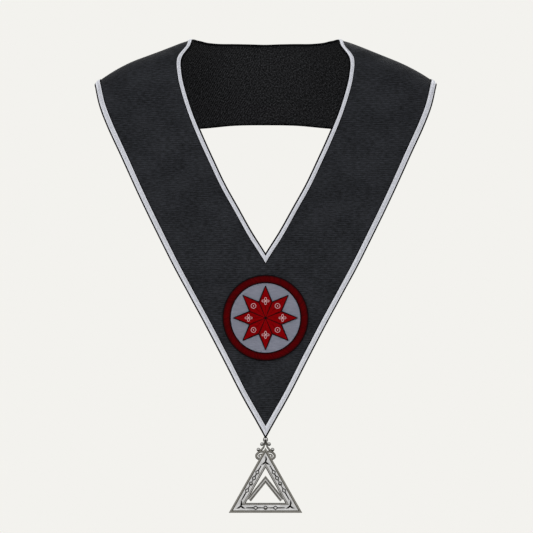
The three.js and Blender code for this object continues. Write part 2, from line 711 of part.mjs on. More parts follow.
function scrolls(side) {
  const path = (scroll) => scroll.map((point) => crestPlace(side, point));
  const knobAtEnd = (scroll, radius) => {
    const end = path(scroll)[scroll.length - 1];
    return solid(new THREE.SphereGeometry(radius, KNOB_SIDES, KNOB_LEVELS).translate(end.x, end.y, end.z));
  };
  return [
    wire(path(EAR_SCROLL), EAR_WIRE_RADIUS, EAR_STEPS),
    wire(path(CREST_SCROLL), CREST_WIRE_RADIUS, SCROLL_STEPS),
    wire(path(SIDE_SCROLL), SIDE_WIRE_RADIUS, SCROLL_STEPS),
    wire(path(HOOK_SCROLL), HOOK_WIRE_RADIUS, HOOK_STEPS),
    knobAtEnd(EAR_SCROLL, KNOB_RADIUS),
    knobAtEnd(CREST_SCROLL, KNOB_RADIUS),
    knobAtEnd(HOOK_SCROLL, HOOK_KNOB_RADIUS),
  ];
}

function crestStem() {
  const outline = CREST_STEM.map(
    ({ radius, below }) => new THREE.Vector2(radius * CREST_HEIGHT, -below * CREST_HEIGHT),
  );
  const top = new THREE.Vector2(0, outline[0].y);
  const foot = new THREE.Vector2(0, outline[outline.length - 1].y);
  const around = [foot, ...outline.toReversed(), top];
  return solid(new THREE.LatheGeometry(around, STEM_SIDES, Math.PI / STEM_SIDES));
}

// The bail: a short tube across the jewel's top, round the loop's bar.
function bail() {
  const inner = LOOP_WIRE_RADIUS + LAYER_GAP;
  const outer = inner + BAIL_WALL;
  const half = BAIL_LENGTH / 2;
  const section = [
    new THREE.Vector2(inner, -half), new THREE.Vector2(outer - BAIL_EDGE, -half),
    new THREE.Vector2(outer, BAIL_EDGE - half), new THREE.Vector2(outer, half - BAIL_EDGE),
    new THREE.Vector2(outer - BAIL_EDGE, half), new THREE.Vector2(inner, half),
    new THREE.Vector2(inner, -half),
  ];
  return solid(new THREE.LatheGeometry(section, BAIL_STEPS, Math.PI / BAIL_STEPS).rotateZ(Math.PI / 2));
}

function jewelGeometry() {
  const inFromLeft = new THREE.Vector2(Math.cos(SIDE_TURN), -Math.sin(SIDE_TURN));
  const inFromRight = new THREE.Vector2(-Math.cos(SIDE_TURN), -Math.sin(SIDE_TURN));
  const inFromBase = new THREE.Vector2(0, 1);
  const ribEdge = (SQUARE_ARM_WIDTH - SQUARE_RIB_WIDTH) / 2;
  const bodies = [
    frame(),
    ...barOrnaments(APEX, LEFT_CORNER, SIDE_ORNAMENTS, inFromLeft),
    ...barOrnaments(APEX, RIGHT_CORNER, SIDE_ORNAMENTS, inFromRight),
    ...barOrnaments(LEFT_CORNER, RIGHT_CORNER, BASE_ORNAMENTS, inFromBase),
    ...cornerLeaves(APEX, Math.PI),
    ...cornerLeaves(LEFT_CORNER, -Math.PI / 4 - SIDE_TURN / 2),
    ...cornerLeaves(RIGHT_CORNER, Math.PI / 4 + SIDE_TURN / 2),
    squareLayer(0, SQUARE_ARM_WIDTH, JEWEL_FACE + SQUARE_RISE),
    squareLayer(ribEdge, ribEdge + SQUARE_RIB_WIDTH, JEWEL_FACE + 2 * SQUARE_RISE),
    ...scrolls(-1),
    ...scrolls(1),
    crestStem(),
    bail(),
  ];
  return geometryOf(joined(bodies)).rotateX(Math.PI / 2);
}

// The loop's wire runs straight under the point as a bar, up at both sides, and in to the tab.
function loopGeometry() {
  const corner = (side, width, up) => new THREE.Vector3(side * width / 2, up, 0);
  const route = [
    corner(-1, LOOP_TOP_WIDTH, LOOP_TOP_HEIGHT), corner(-1, LOOP_BAR_LENGTH, LOOP_SIDE_HEIGHT),
    corner(-1, LOOP_BAR_LENGTH, 0), corner(1, LOOP_BAR_LENGTH, 0),
    corner(1, LOOP_BAR_LENGTH, LOOP_SIDE_HEIGHT), corner(1, LOOP_TOP_WIDTH, LOOP_TOP_HEIGHT),
  ];
  const taperEnd = LOOP_PLATE_FOOT + LOOP_PLATE_TAPER;
  const top = LOOP_PLATE_FOOT + LOOP_PLATE_HEIGHT;
  const halfFoot = LOOP_PLATE_FOOT_WIDTH / 2;
  const half = LOOP_PLATE_WIDTH / 2;
  const front = LOOP_WIRE_RADIUS;
  const bodies = [
    ...route.slice(1).map((end, index) => wire([route[index], end], LOOP_WIRE_RADIUS, 1)),
    ...route.slice(1, -1).map(({ x, y, z }) => solid(
      new THREE.SphereGeometry(LOOP_WIRE_RADIUS, KNOB_SIDES, KNOB_LEVELS).translate(x, y, z),
    )),
    plate([
      new THREE.Vector2(-halfFoot, LOOP_PLATE_FOOT), new THREE.Vector2(halfFoot, LOOP_PLATE_FOOT),
      new THREE.Vector2(half, taperEnd), new THREE.Vector2(half, top),
      new THREE.Vector2(-half, top), new THREE.Vector2(-half, taperEnd),
    ], front - LOOP_PLATE_THICKNESS, front),
  ];
  return geometryOf(joined(bodies)).rotateX(Math.PI / 2);
}

// The assembly

function piece(name, geometry, finish) {
  const mesh = new THREE.Mesh(geometry, finish);
  mesh.name = name;
  return mesh;
}

const collar = new THREE.Group();
collar.add(
  piece('front_ribbon_right', ribbonPanel(0, SEAM_ROW), BLACK_RIBBON),
  piece('back_ribbon', ribbonPanel(SEAM_ROW, LAST_ROW - SEAM_ROW), BLACK_RIBBON),
  piece('front_ribbon_left', ribbonPanel(LAST_ROW - SEAM_ROW, LAST_ROW), BLACK_RIBBON),
  piece('lining_right', liningPanel(0, SEAM_ROW), DARK_LINING),
  piece('lining_back', liningPanel(SEAM_ROW, LAST_ROW - SEAM_ROW), DARK_LINING),
  piece('lining_left', liningPanel(LAST_ROW - SEAM_ROW, LAST_ROW), DARK_LINING),
  piece('neck_lace', laceBorder(0, NECK_LACE_WIDTH), SILVER_LACE),
  piece('hem_lace', laceBorder(1, HEM_LACE_WIDTH), SILVER_LACE),
);

const roundel = new THREE.Group();
roundel.add(
  piece('badge_backing', roundelDisc(ROUNDEL_CORD_RADIUS + ROUNDEL_BORDER, LAYER_GAP,
    LAYER_GAP + BADGE_BACKING_THICKNESS), BLACK_FELT),
  piece('badge_field', roundelDisc(ROUNDEL_CORD_RADIUS - ROUNDEL_CORD_WIDTH - ROUNDEL_BORDER / 2,
    FIELD_LOW, FIELD_HIGH), GREY_SATIN),
  piece('badge_cord', roundelCord(), DARK_RED_CORD),
  piece('star_ground', patch(ROUNDEL_CENTRE, starOutline(STAR_LINE / 2), DISC_RINGS, GROUND_LOW,
    GROUND_HIGH), BLACK_FELT),
);
for (let index = 0; index < STAR_RAYS; index += 1) {
  roundel.add(piece(`star_ray_${index + 1}`, starRay(index), RED_SATIN));
  roundel.add(piece(`star_motif_${index + 1}`, starMotif(index), PALE_THREAD));
}
collar.add(roundel);

// The jewel hangs behind the point, just clear of the lining.
const point = formPoint(0, -HEM_FRONT_LENGTH);
const behindLining = RIBBON_THICKNESS + LINING_THICKNESS + 2 * LAYER_GAP;
const pendant = new THREE.Group();
pendant.position.set(0, point.y + behindLining + LOOP_WIRE_RADIUS, point.z - LOOP_BELOW_POINT);
pendant.add(
  piece('jewel_loop', loopGeometry(), OLD_SILVER),
  piece('jewel', jewelGeometry(), OLD_SILVER),
);
collar.add(pendant);

export default collar;
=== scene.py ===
"""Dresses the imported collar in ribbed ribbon, silver lace, embroidery and old silver.

Everything is in metres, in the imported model's own frame: X to the viewer's right, Y to the back,
Z up, with the origin in the middle of the neck opening.
"""

from __future__ import annotations

import json
import logging
import math
from collections.abc import Sequence
from dataclasses import dataclass, field
from enum import Enum
from functools import cache

import bpy
import numpy as np
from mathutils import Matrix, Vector

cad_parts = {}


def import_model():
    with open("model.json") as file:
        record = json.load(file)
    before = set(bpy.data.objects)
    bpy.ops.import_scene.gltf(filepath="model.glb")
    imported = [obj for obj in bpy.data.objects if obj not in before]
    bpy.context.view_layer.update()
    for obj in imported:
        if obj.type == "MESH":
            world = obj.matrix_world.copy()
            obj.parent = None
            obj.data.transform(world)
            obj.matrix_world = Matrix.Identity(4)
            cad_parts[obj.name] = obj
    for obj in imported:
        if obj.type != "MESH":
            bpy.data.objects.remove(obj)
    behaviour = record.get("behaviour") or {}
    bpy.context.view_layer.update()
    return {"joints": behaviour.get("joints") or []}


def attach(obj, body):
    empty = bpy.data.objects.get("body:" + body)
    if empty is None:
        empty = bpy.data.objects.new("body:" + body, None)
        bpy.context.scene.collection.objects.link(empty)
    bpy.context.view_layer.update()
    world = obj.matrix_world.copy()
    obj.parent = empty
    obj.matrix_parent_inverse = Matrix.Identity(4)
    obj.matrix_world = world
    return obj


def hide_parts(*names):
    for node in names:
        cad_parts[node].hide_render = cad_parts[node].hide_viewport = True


log = logging.getLogger("collar")

MM = 0.001
TURN = 2 * math.pi
COLLAR_BODY = "collar"
JEWEL_BODY = "jewel"
SCREEN_WHITE = 255
SCREEN_KNEE = 10


# Shader maths


class Value:
    """A number, colour or vector in a tree of nodes, with ordinary arithmetic."""

    def __init__(self, nodes: Nodes, socket: bpy.types.NodeSocket) -> None:
        """Wraps an output socket of a tree's node."""
        self.nodes = nodes
        self.socket = socket

    def __add__(self, other: Value | float) -> Value:
        """Adds a number or a value."""
        return self.nodes.math("ADD", self, other)

    def __radd__(self, other: float) -> Value:
        """Adds to a number."""
        return self.nodes.math("ADD", other, self)

    def __sub__(self, other: Value | float) -> Value:
        """Takes away a number or a value."""
        return self.nodes.math("SUBTRACT", self, other)

    def __rsub__(self, other: float) -> Value:
        """Takes this value from a number."""
        return self.nodes.math("SUBTRACT", other, self)

    def __mul__(self, other: Value | float) -> Value:
        """Multiplies by a number or a value."""
        return self.nodes.math("MULTIPLY", self, other)

    def __rmul__(self, other: float) -> Value:
        """Multiplies a number."""
        return self.nodes.math("MULTIPLY", other, self)

    def __pow__(self, other: float) -> Value:
        """Raises to a power."""
        return self.nodes.math("POWER", self, other)

    def sine(self) -> Value:
        """The sine of this value, in radians."""
        return self.nodes.math("SINE", self)

    def clamped(self) -> Value:
        """This value, kept between 0 and 1."""
        return self.nodes.math("ADD", self, 0.0, use_clamp=True)

    def between(self, low: float, high: float) -> Value:
        """How far this value lies from low to high, smoothly, from 0 to 1.

        Args:
            low: what gives 0.
            high: what gives 1.

        Returns:
            The share.
        """
        return self.nodes.node(
            "ShaderNodeMapRange",
            {"interpolation_type": "SMOOTHSTEP"},
            {"Value": self, "From Min": low, "From Max": high},
        )


class Nodes:
    """A tree of shader nodes that ends in an output node."""

    def __init__(self, tree: bpy.types.NodeTree, output: str) -> None:
        """Empties the tree and adds its output node.

        Args:
            tree: the tree.
            output: the output node's type.
        """
        self.tree = tree
        self.tree.nodes.clear()
        self.output = self.tree.nodes.new(output)

    def node(self, kind: str, settings: dict, inputs: dict, output: str | int = 0) -> Value:
        """Adds a node.

        Args:
            kind: the node's type.
            settings: its properties and a ramp's stops, which are set first.
            inputs: the values or links of its sockets, by name or number.
            output: which output is wanted.

        Returns:
            That output, as a value.
        """
        node = self.tree.nodes.new(kind)
        for key, setting in settings.items():
            if key == "stops":
                self.set_stops(node.color_ramp, setting)
            else:
                setattr(node, key, setting)
        for key, given in inputs.items():
            self.feed(node.inputs[key], given)
        return Value(self, node.outputs[output])

    def set_stops(self, ramp: bpy.types.ColorRamp, stops: Sequence[tuple[float, Sequence[float]]]) -> None:
        """Gives a colour ramp its stops.

        Args:
            ramp: the ramp, with its two first stops.
            stops: each stop's place and colour.
        """
        ramp.elements.remove(ramp.elements[0])
        for index, (place, shade) in enumerate(stops):
            stop = ramp.elements[0] if index == 0 else ramp.elements.new(place)
            stop.position = place
            stop.color = shade

    def feed(self, socket: bpy.types.NodeSocket, given: Value | float | Sequence[float]) -> None:
        """Links a value to a socket, or sets the socket to a plain number or colour.

        Args:
            socket: the socket.
            given: the value, number or colour.
        """
        if isinstance(given, Value):
            self.tree.links.new(given.socket, socket)
        else:
            socket.default_value = given

    def math(
        self, operation: str, a: Value | float, b: Value | float = 0.0, use_clamp: bool = False
    ) -> Value:
        """One step of arithmetic on numbers."""
        settings = {"operation": operation, "use_clamp": use_clamp}
        return self.node("ShaderNodeMath", settings, {0: a, 1: b})

    def part(self, vector: Value, axis: str) -> Value:
        """One component of a vector."""
        return self.node("ShaderNodeSeparateXYZ", {}, {0: vector}, axis)


class Recipe(Nodes):
    """One material's nodes, ending in a Principled shader."""

    def __init__(self, name: str) -> None:
        """Makes an empty material.

        Args:
            name: the material's name.
        """
        self.material = bpy.data.materials.new(name)
        self.material.use_nodes = True
        super().__init__(self.material.node_tree, "ShaderNodeOutputMaterial")
        self.shader = self.tree.nodes.new("ShaderNodeBsdfPrincipled")
        self.tree.links.new(self.shader.outputs["BSDF"], self.output.inputs["Surface"])

    def mix(
        self, low: Sequence[float] | Value, high: Sequence[float] | Value, factor: Value | float
    ) -> Value:
        """A colour between two colours."""
        inputs = {"Factor": factor, 6: low, 7: high}
        return self.node("ShaderNodeMix", {"data_type": "RGBA"}, inputs, 2)

    def cloth_place(self, stretch: tuple[float, float]) -> Value:
        """The place on the cloth, in metres times a stretch across and along.

        Args:
            stretch: the factors across and along.

        Returns:
            The place, as a vector.
        """
        uv = self.node("ShaderNodeTexCoord", {}, {}, "UV")
        factors = (stretch[0], stretch[1], 1.0)
        return self.node("ShaderNodeVectorMath", {"operation": "MULTIPLY"}, {0: uv, 1: factors})

    def body_place(self) -> Value:
        """The place in the object's own frame, in metres."""
        return self.node("ShaderNodeTexCoord", {}, {}, "Object")

    def noise(self, place: Value, scale: float, detail: float = 2.0) -> Value:
        """Smooth noise from 0 to 1."""
        return self.node("ShaderNodeTexNoise", {}, {"Vector": place, "Scale": scale, "Detail": detail})

    def cloth_noise(self, stretch: tuple[float, float], detail: float = 2.0) -> Value:
        """Smooth noise on the cloth, as fine as its stretch across and along."""
        return self.noise(self.cloth_place(stretch), 1.0, detail)

    def mark(self) -> Value:
        """The mark that the mesh carries at each point."""
        return self.node("ShaderNodeAttribute", {"attribute_name": "mark"}, {}, "Fac")

    def strand(self) -> Value:
        """A number from 0 to 1 that differs from one loose strand to the next."""
        return self.node("ShaderNodeNewGeometry", {}, {}, "Random Per Island")

    def bump(self, height: Value, depth: float) -> Value:
        """A bumped normal, with the bumps' depth in metres."""
        return self.node("ShaderNodeBump", {}, {"Height": height, "Distance": depth}, "Normal")

    def finish(self, **inputs: Value | float | Sequence[float]) -> bpy.types.Material:
        """Sets the shader's sockets.

        Args:
            inputs: the sockets' values or links, by name, with underscores in place of spaces.

        Returns:
            The material.
        """
        for key, given in inputs.items():
            self.feed(self.shader.inputs[key.replace("_", " ")], given)
        return self.material


def screen_light(level: float) -> float:
    """A channel's light as a shader takes it, from a screen's level of 0 to 255."""
    share = level / SCREEN_WHITE
    return ((share + 0.055) / 1.055) ** 2.4 if level > SCREEN_KNEE else share / 12.92


def colour(red: float, green: float, blue: float) -> tuple[float, float, float, float]:
    """A colour as a shader takes it, from a screen's values of 0 to 255."""
    return (screen_light(red), screen_light(green), screen_light(blue), 1.0)


# Finishes


@dataclass(frozen=True)
class RibbedRibbon:
    """Black ribbon with fine cross ribs, slubs and a faint watered figure.

    Its pairs of numbers say how fine a noise is across and along the cloth.
    """

    name: str = "ribbed_black_ribbon"
    rib: float = 2.5 * MM
    waver: tuple[float, float] = (22.0, 9.0)
    waver_reach: float = 7.0
    slub: tuple[float, float] = (170.0, 640.0)
    warp: tuple[float, float] = (760.0, 380.0)
    watering: tuple[float, float] = (26.0, 34.0)
    relief: float = 0.25 * MM
    gloss: float = 0.07
    dark: tuple[float, ...] = colour(14, 15, 17)
    light: tuple[float, ...] = colour(46, 48, 54)

    def make(self) -> bpy.types.Material:
        """Builds the material.

        Returns:
            The material.
        """
        recipe = Recipe(self.name)
        along = recipe.part(recipe.cloth_place((1.0, 1.0)), "Y")
        waver = recipe.cloth_noise(self.waver, 3.0)
        ribs = (along * (TURN / self.rib) + waver * self.waver_reach).sine() * 0.5 + 0.5
        slubs = recipe.cloth_noise(self.slub).between(0.3, 0.75)
        warp = recipe.cloth_noise(self.warp).between(0.3, 0.7)
        watered = recipe.cloth_noise(self.watering, 4.0).between(0.32, 0.7)
        bright = ribs * (0.14 + slubs * 0.3) + slubs * 0.36 + warp * 0.16 + watered * 0.16 - 0.06
        height = ribs * 0.7 + slubs * 0.4 + warp * 0.2
        return recipe.finish(
            Base_Color=recipe.mix(self.dark, self.light, bright.clamped()),
            Roughness=0.82 - watered * 0.16,
            Normal=recipe.bump(height, self.relief),
            Specular_IOR_Level=self.gloss,
        )


@dataclass(frozen=True)
class DottedLining:
    """Dark lining, woven in a fine slanting grid of small light dots with a grain over it."""

    name: str = "dotted_dark_lining"
    weave: float = 2.6 * MM
    slant: float = 0.5
    clouds: tuple[float, float] = (35.0, 35.0)
    grain: tuple[float, float] = (560.0, 560.0)
    relief: float = 0.12 * MM
    gloss: float = 0.07
    dark: tuple[float, ...] = colour(4, 4, 5)
    light: tuple[float, ...] = colour(86, 87, 92)

    def make(self) -> bpy.types.Material:
        """Builds the material.

        Returns:
            The material.
        """
        recipe = Recipe(self.name)
        place = recipe.cloth_place((TURN / self.weave, TURN / self.weave))
        across, along = recipe.part(place, "X"), recipe.part(place, "Y")
        crossing = (across + along * self.slant).sine() * (along - across * self.slant).sine()
        dots = (crossing * 0.5 + 0.5) ** 2.0
        pick = (across * 3.0 + along * 3.0).sine() * 0.5 + 0.5
        cloudy = recipe.cloth_noise(self.clouds, 3.0)
        grain = recipe.cloth_noise(self.grain).between(0.35, 0.7)
        bright = dots * 0.5 + pick * 0.04 + grain * 0.34 + cloudy * 0.06 - 0.24
        return recipe.finish(
            Base_Color=recipe.mix(self.dark, self.light, bright.clamped()),
            Roughness=0.9 - cloudy * 0.1,
            Normal=recipe.bump(dots + pick * 0.5, self.relief),
            Specular_IOR_Level=self.gloss,
        )


@dataclass(frozen=True)
class Yarn:
    """Thread of one colour, a little different from strand to strand, with painted shade mixed in where it is
    marked.
    """

    name: str
    dark: tuple[float, ...]
    light: tuple[float, ...]
    roughness: float = 0.5
    metallic: float = 0.0
    gloss: float = 0.06
    twist: float = 2200.0
    patches: float = 60.0
    relief: float = 0.05 * MM
    # The colour of the painted shade that the mark mixes in.
    shade: tuple[float, ...] = colour(6, 4, 5)

    def make(self) -> bpy.types.Material:
        """Builds the material.

        Returns:
            The material.
        """
        recipe = Recipe(self.name)
        place = recipe.body_place()
        strand = recipe.strand()
        fibres = recipe.noise(place, self.twist)
        patches = recipe.noise(place, self.patches)
        bright = strand * 0.45 + fibres * 0.35 + patches * 0.3 - 0.05
        thread = recipe.mix(self.dark, self.light, bright.clamped())
        return recipe.finish(
            # Painted shade, as much as the mesh's mark says, such as towards the red cord's sides.
            Base_Color=recipe.mix(thread, self.shade, recipe.mark()),
            Roughness=self.roughness + fibres * 0.12,
            Normal=recipe.bump(fibres, self.relief),
            Metallic=self.metallic,
            Specular_IOR_Level=self.gloss,
        )


@dataclass(frozen=True)
class OldSilver:
    """Cast silver, pale where it is rubbed, grey on its rims, dark with patina in its recesses,
    and darkened by painted shade on the sides and undersides of its wires and knobs.

    The mesh's marks say how dark each place is, with patina and painted shade together.
    """

    name: str = "antique_silver"
    casting: float = 520.0
    clouds: float = 130.0
    relief: float = 0.06 * MM
    metallic: float = 0.8
    gloss: float = 0.3
    pale: tuple[float, ...] = colour(206, 206, 209)
    worn: tuple[float, ...] = colour(176, 176, 178)
    grey: tuple[float, ...] = colour(112, 110, 105)
    # The darkest colour: patina in recesses, and painted shade under the round parts.
    patina_and_shade_colour: tuple[float, ...] = colour(22, 20, 18)

    def make(self) -> bpy.types.Material:
        """Builds the material.

        Returns:
            The material.
        """
        recipe = Recipe(self.name)
        place = recipe.body_place()
        cast = recipe.noise(place, self.casting, 4.0)
        clouds = recipe.noise(place, self.clouds, 3.0)
        metal = recipe.mix(self.worn, self.pale, clouds.between(0.2, 0.8))
        # The mark carries both patina and painted shade: it greys the metal, then darkens it nearly to black.
        patina_and_shade = recipe.mark() + (cast - 0.5) * 0.22
        greyed = recipe.mix(metal, self.grey, patina_and_shade.between(0.05, 0.5))
        return recipe.finish(
            Base_Color=recipe.mix(greyed, self.patina_and_shade_colour, patina_and_shade.between(0.5, 0.95)),
            Roughness=0.36 + patina_and_shade.clamped() * 0.25 + cast * 0.1,
            Metallic=self.metallic,
            Normal=recipe.bump(cast + clouds * 0.5, self.relief),
            Specular_IOR_Level=self.gloss,
        )


@dataclass(frozen=True)
class PalePaint:
    """The studio floor."""

    name: str = "studio_floor"
    grain: float = 300.0
    shade: tuple[float, ...] = colour(243, 242, 238)

    def make(self) -> bpy.types.Material:
        """Builds the material.

        Returns:
            The material.
        """
        recipe = Recipe(self.name)
        grain = recipe.noise(recipe.body_place(), self.grain)
        return recipe.finish(Base_Color=self.shade, Roughness=0.85 + grain * 0.1)


class Finish(Enum):
    """Every finish on the collar."""

    RIBBON = RibbedRibbon()
    LINING = DottedLining()
    LACE_GROUND = Yarn("lace_ground", colour(150, 152, 162), colour(196, 198, 208), 0.45, 0.15, 0.3)
    SILVER_YARN = Yarn("silver_yarn", colour(186, 188, 197), colour(232, 234, 242), 0.38, 0.25, 0.4)
    BLACK_YARN = Yarn("black_yarn", colour(3, 3, 4), colour(14, 14, 16), 0.8, gloss=0.02)
    BLACK_FELT = Yarn("black_felt_cloth", colour(4, 4, 5), colour(14, 13, 14), 0.95, gloss=0.02, twist=900.0)
    GREY_SILK = Yarn("grey_silk", colour(112, 115, 129), colour(148, 151, 166), 0.5, gloss=0.1)
    RED_CORD = Yarn("crimson_cord", colour(44, 0, 2), colour(92, 0, 3), 0.5, gloss=0.02)
    RED_SILK = Yarn("scarlet_silk", colour(96, 0, 3), colour(150, 1, 7), 0.5, gloss=0.03)
    PALE_YARN = Yarn("pale_yarn", colour(176, 136, 142), colour(212, 178, 183), 0.5, gloss=0.1)
    SILVER = OldSilver()
    FLOOR = PalePaint()

    @cache
    def material(self) -> bpy.types.Material:
        """The finish's material, built once."""
        return self.value.make()


# Meshes


def split_circle(sides: int, phase: float = 0.0) -> np.ndarray:
    """Points round a unit circle, as rows of cosine and sine."""
    angles = phase + TURN * np.arange(sides) / sides
    return np.stack([np.cos(angles), np.sin(angles)], 1)


def unit(vectors: np.ndarray) -> np.ndarray:
    """Vectors of length one in the same directions."""
    return vectors / np.maximum(np.linalg.norm(vectors, axis=-1, keepdims=True), 1e-12)


@dataclass
class Piece:
    """Gathers the meshes of one visible piece."""

    name: str
    finish: Finish
    points: list[np.ndarray] = field(default_factory=list)
    faces: list[np.ndarray] = field(default_factory=list)
    marks: list[np.ndarray] = field(default_factory=list)
    places: list[np.ndarray] = field(default_factory=list)
    count: int = 0

    def add(
        self,
        points: np.ndarray,
        faces: Sequence[np.ndarray],
        marks: np.ndarray | float = 0.0,
        places: np.ndarray | None = None,
    ) -> None:
        """Adds a mesh.

        Args:
            points: its points, one row each.
            faces: arrays of faces with as many corners each, one row a face.
            marks: a mark for each point, or one for all.
            places: each point's place on the cloth, for the weave.
        """
        points = points.reshape(-1, 3)
        self.points.append(points)
        self.marks.append(np.broadcast_to(np.asarray(marks, float), (len(points),)))
        self.places.append(np.zeros((len(points), 2)) if places is None else places.reshape(-1, 2))
        self.faces.extend(group + self.count for group in faces if len(group))
        self.count += len(points)

    def loft(
        self,
        sections: np.ndarray,
        loop: bool = False,
        marks: np.ndarray | float = 0.0,
        places: np.ndarray | None = None,
    ) -> None:
        """Adds a solid through closed sections, capped at its ends unless it is a loop.

        Args:
            sections: points by section and by place round the section.
            loop: whether the last section joins the first.
            marks: a mark for each point of a section, for each point, or one for all.
            places: each point's place on the cloth.
        """
        rows, sides = sections.shape[:2]
        faces = lofted(rows, sides, loop)
        if np.size(marks) == sides:
            marks = np.broadcast_to(marks, (rows, sides))
        self.add(sections, faces, np.ravel(marks) if np.ndim(marks) else marks, places)

    def strands(
        self,
        paths: np.ndarray,
        ups: np.ndarray,
        radius: float,
        sides: int = 5,
        ends: float = 0.4,
        marks: np.ndarray | float = 0.0,
    ) -> None:
        """Adds many like threads.

        Args:
            paths: points by thread and by place along it.
            ups: for each thread, or each of its points, the direction away from the cloth.
            radius: half the thread's thickness.
            sides: how many sides it has.
            ends: how thick its ends are, as a share.
            marks: a mark for each place along a thread, or one for all.
        """
        threads, steps = paths.shape[:2]
        if ups.ndim == 2:
            ups = np.broadcast_to(ups[:, None, :], paths.shape)
        ahead = unit(np.gradient(paths, axis=1))
        sideways = unit(np.cross(ahead, ups))
        upright = np.cross(sideways, ahead)
        width = np.full(steps, radius)
        width[[0, -1]] = radius * ends
        circle = split_circle(sides, TURN / 4)
        rings = (
            paths[:, :, None, :]
            + width[None, :, None, None] * circle[None, None, :, :1] * sideways[:, :, None, :]
            + width[None, :, None, None] * circle[None, None, :, 1:] * upright[:, :, None, :]
        )
        offsets = (np.arange(threads) * steps * sides)[:, None, None]
        faces = [
            (group[None, :, :] + offsets).reshape(-1, group.shape[1])
            for group in lofted(steps, sides, False)
        ]
        marked = np.broadcast_to(np.asarray(marks, float), (steps,))
        self.add(rings, faces, np.tile(np.repeat(marked, sides), threads))

    def build(self, sharp_degrees: float = 50.0) -> bpy.types.Object:
        """Makes the Blender object, facing out and shaded smooth except at sharp edges.

        Args:
            sharp_degrees: the angle past which an edge stays sharp.

        Returns:
            The object, linked to the scene.
        """
        points = np.concatenate(self.points)
        faces = [row for group in self.faces for row in group.tolist()]
        mesh = bpy.data.meshes.new(self.name)
        mesh.from_pydata(points.tolist(), [], faces)
        corners = np.zeros(len(mesh.loops), np.int32)
        mesh.loops.foreach_get("vertex_index", corners)
        layer = mesh.uv_layers.new(name="cloth")
        layer.data.foreach_set("uv", np.concatenate(self.places)[corners].astype(np.float32).ravel())
        mark = mesh.attributes.new("mark", "FLOAT", "POINT")
        mark.data.foreach_set("value", np.concatenate(self.marks).astype(np.float32))
        if enclosed(points, mesh) < 0:
            mesh.flip_normals()
        mesh.shade_smooth()
        mesh.set_sharp_from_angle(angle=math.radians(sharp_degrees))
        mesh.materials.append(self.finish.material())
        return shown(self.name, mesh)


def shown(name: str, data: bpy.types.ID) -> bpy.types.Object:
    """Adds an object with this data to the scene.

    Args:
        name: the object's name.
        data: its mesh, light or camera.

    Returns:
        The object.
    """
    thing = bpy.data.objects.new(name, data)
    bpy.context.scene.collection.objects.link(thing)
    return thing


def enclosed(points: np.ndarray, mesh: bpy.types.Mesh) -> float:
    """Six times the volume that a mesh's faces enclose, below zero if they face in.

    Args:
        points: the mesh's points, one row each.
        mesh: the mesh.

    Returns:
        That volume.
    """
    mesh.calc_loop_triangles()
    triangles = np.zeros(len(mesh.loop_triangles) * 3, np.int32)
    mesh.loop_triangles.foreach_get("vertices", triangles)
    a, b, c = (points[triangles.reshape(-1, 3)[:, i]] for i in range(3))
    return float((a * np.cross(b, c)).sum())


def lofted(rows: int, sides: int, loop: bool) -> list[np.ndarray]:
    """The faces between rows of closed sections, with caps unless it is a loop.

    Args:
        rows: how many sections there are.
        sides: how many points each has.
        loop: whether the last section joins the first.

    Returns:
        The walls, and the caps if it has any.
    """
    row = np.arange(rows if loop else rows - 1)[:, None]
    side = np.arange(sides)[None, :]
    here, ahead = row * sides, ((row + 1) % rows) * sides
    beside = (side + 1) % sides
    walls = np.stack([here + side, ahead + side, ahead + beside, here + beside], -1).reshape(-1, 4)
    if loop:
        return [walls]
    caps = np.stack([np.arange(sides), (rows * sides - 1) - np.arange(sides)])
    return [walls, caps]


def spline(points: np.ndarray, places: np.ndarray) -> np.ndarray:
    """A smooth curve through points, at places counted from the first point.

    Args:
        points: the points that it goes through.
        places: where it is wanted.

    Returns:
        The curve's points.
    """
    last = len(points) - 1
    index = np.clip(np.floor(places).astype(int), 0, last - 1)
    t = (places - index)[..., None]
    before, here = points[np.maximum(index - 1, 0)], points[index]
    after, beyond = points[index + 1], points[np.minimum(index + 2, last)]
    leaving, arriving = (after - before) / 2, (beyond - here) / 2
    cubic = (2 * here - 2 * after + leaving + arriving) * t**3
    square = (3 * after - 3 * here - 2 * leaving - arriving) * t**2
    return cubic + square + leaving * t + here


def wear(piece: bpy.types.Object, nodes: Sequence[str] = (), body: str = COLLAR_BODY) -> None:
    """Fixes a piece to its body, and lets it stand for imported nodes.

    Args:
        piece: the piece.
        nodes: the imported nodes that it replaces.
        body: the body that it rides on.
    """
    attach(piece, body)
    if nodes:
        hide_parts(*nodes)
    log.info("%s: %d faces on %s", piece.name, len(piece.data.polygons), body)


# The form that the cloth lies on


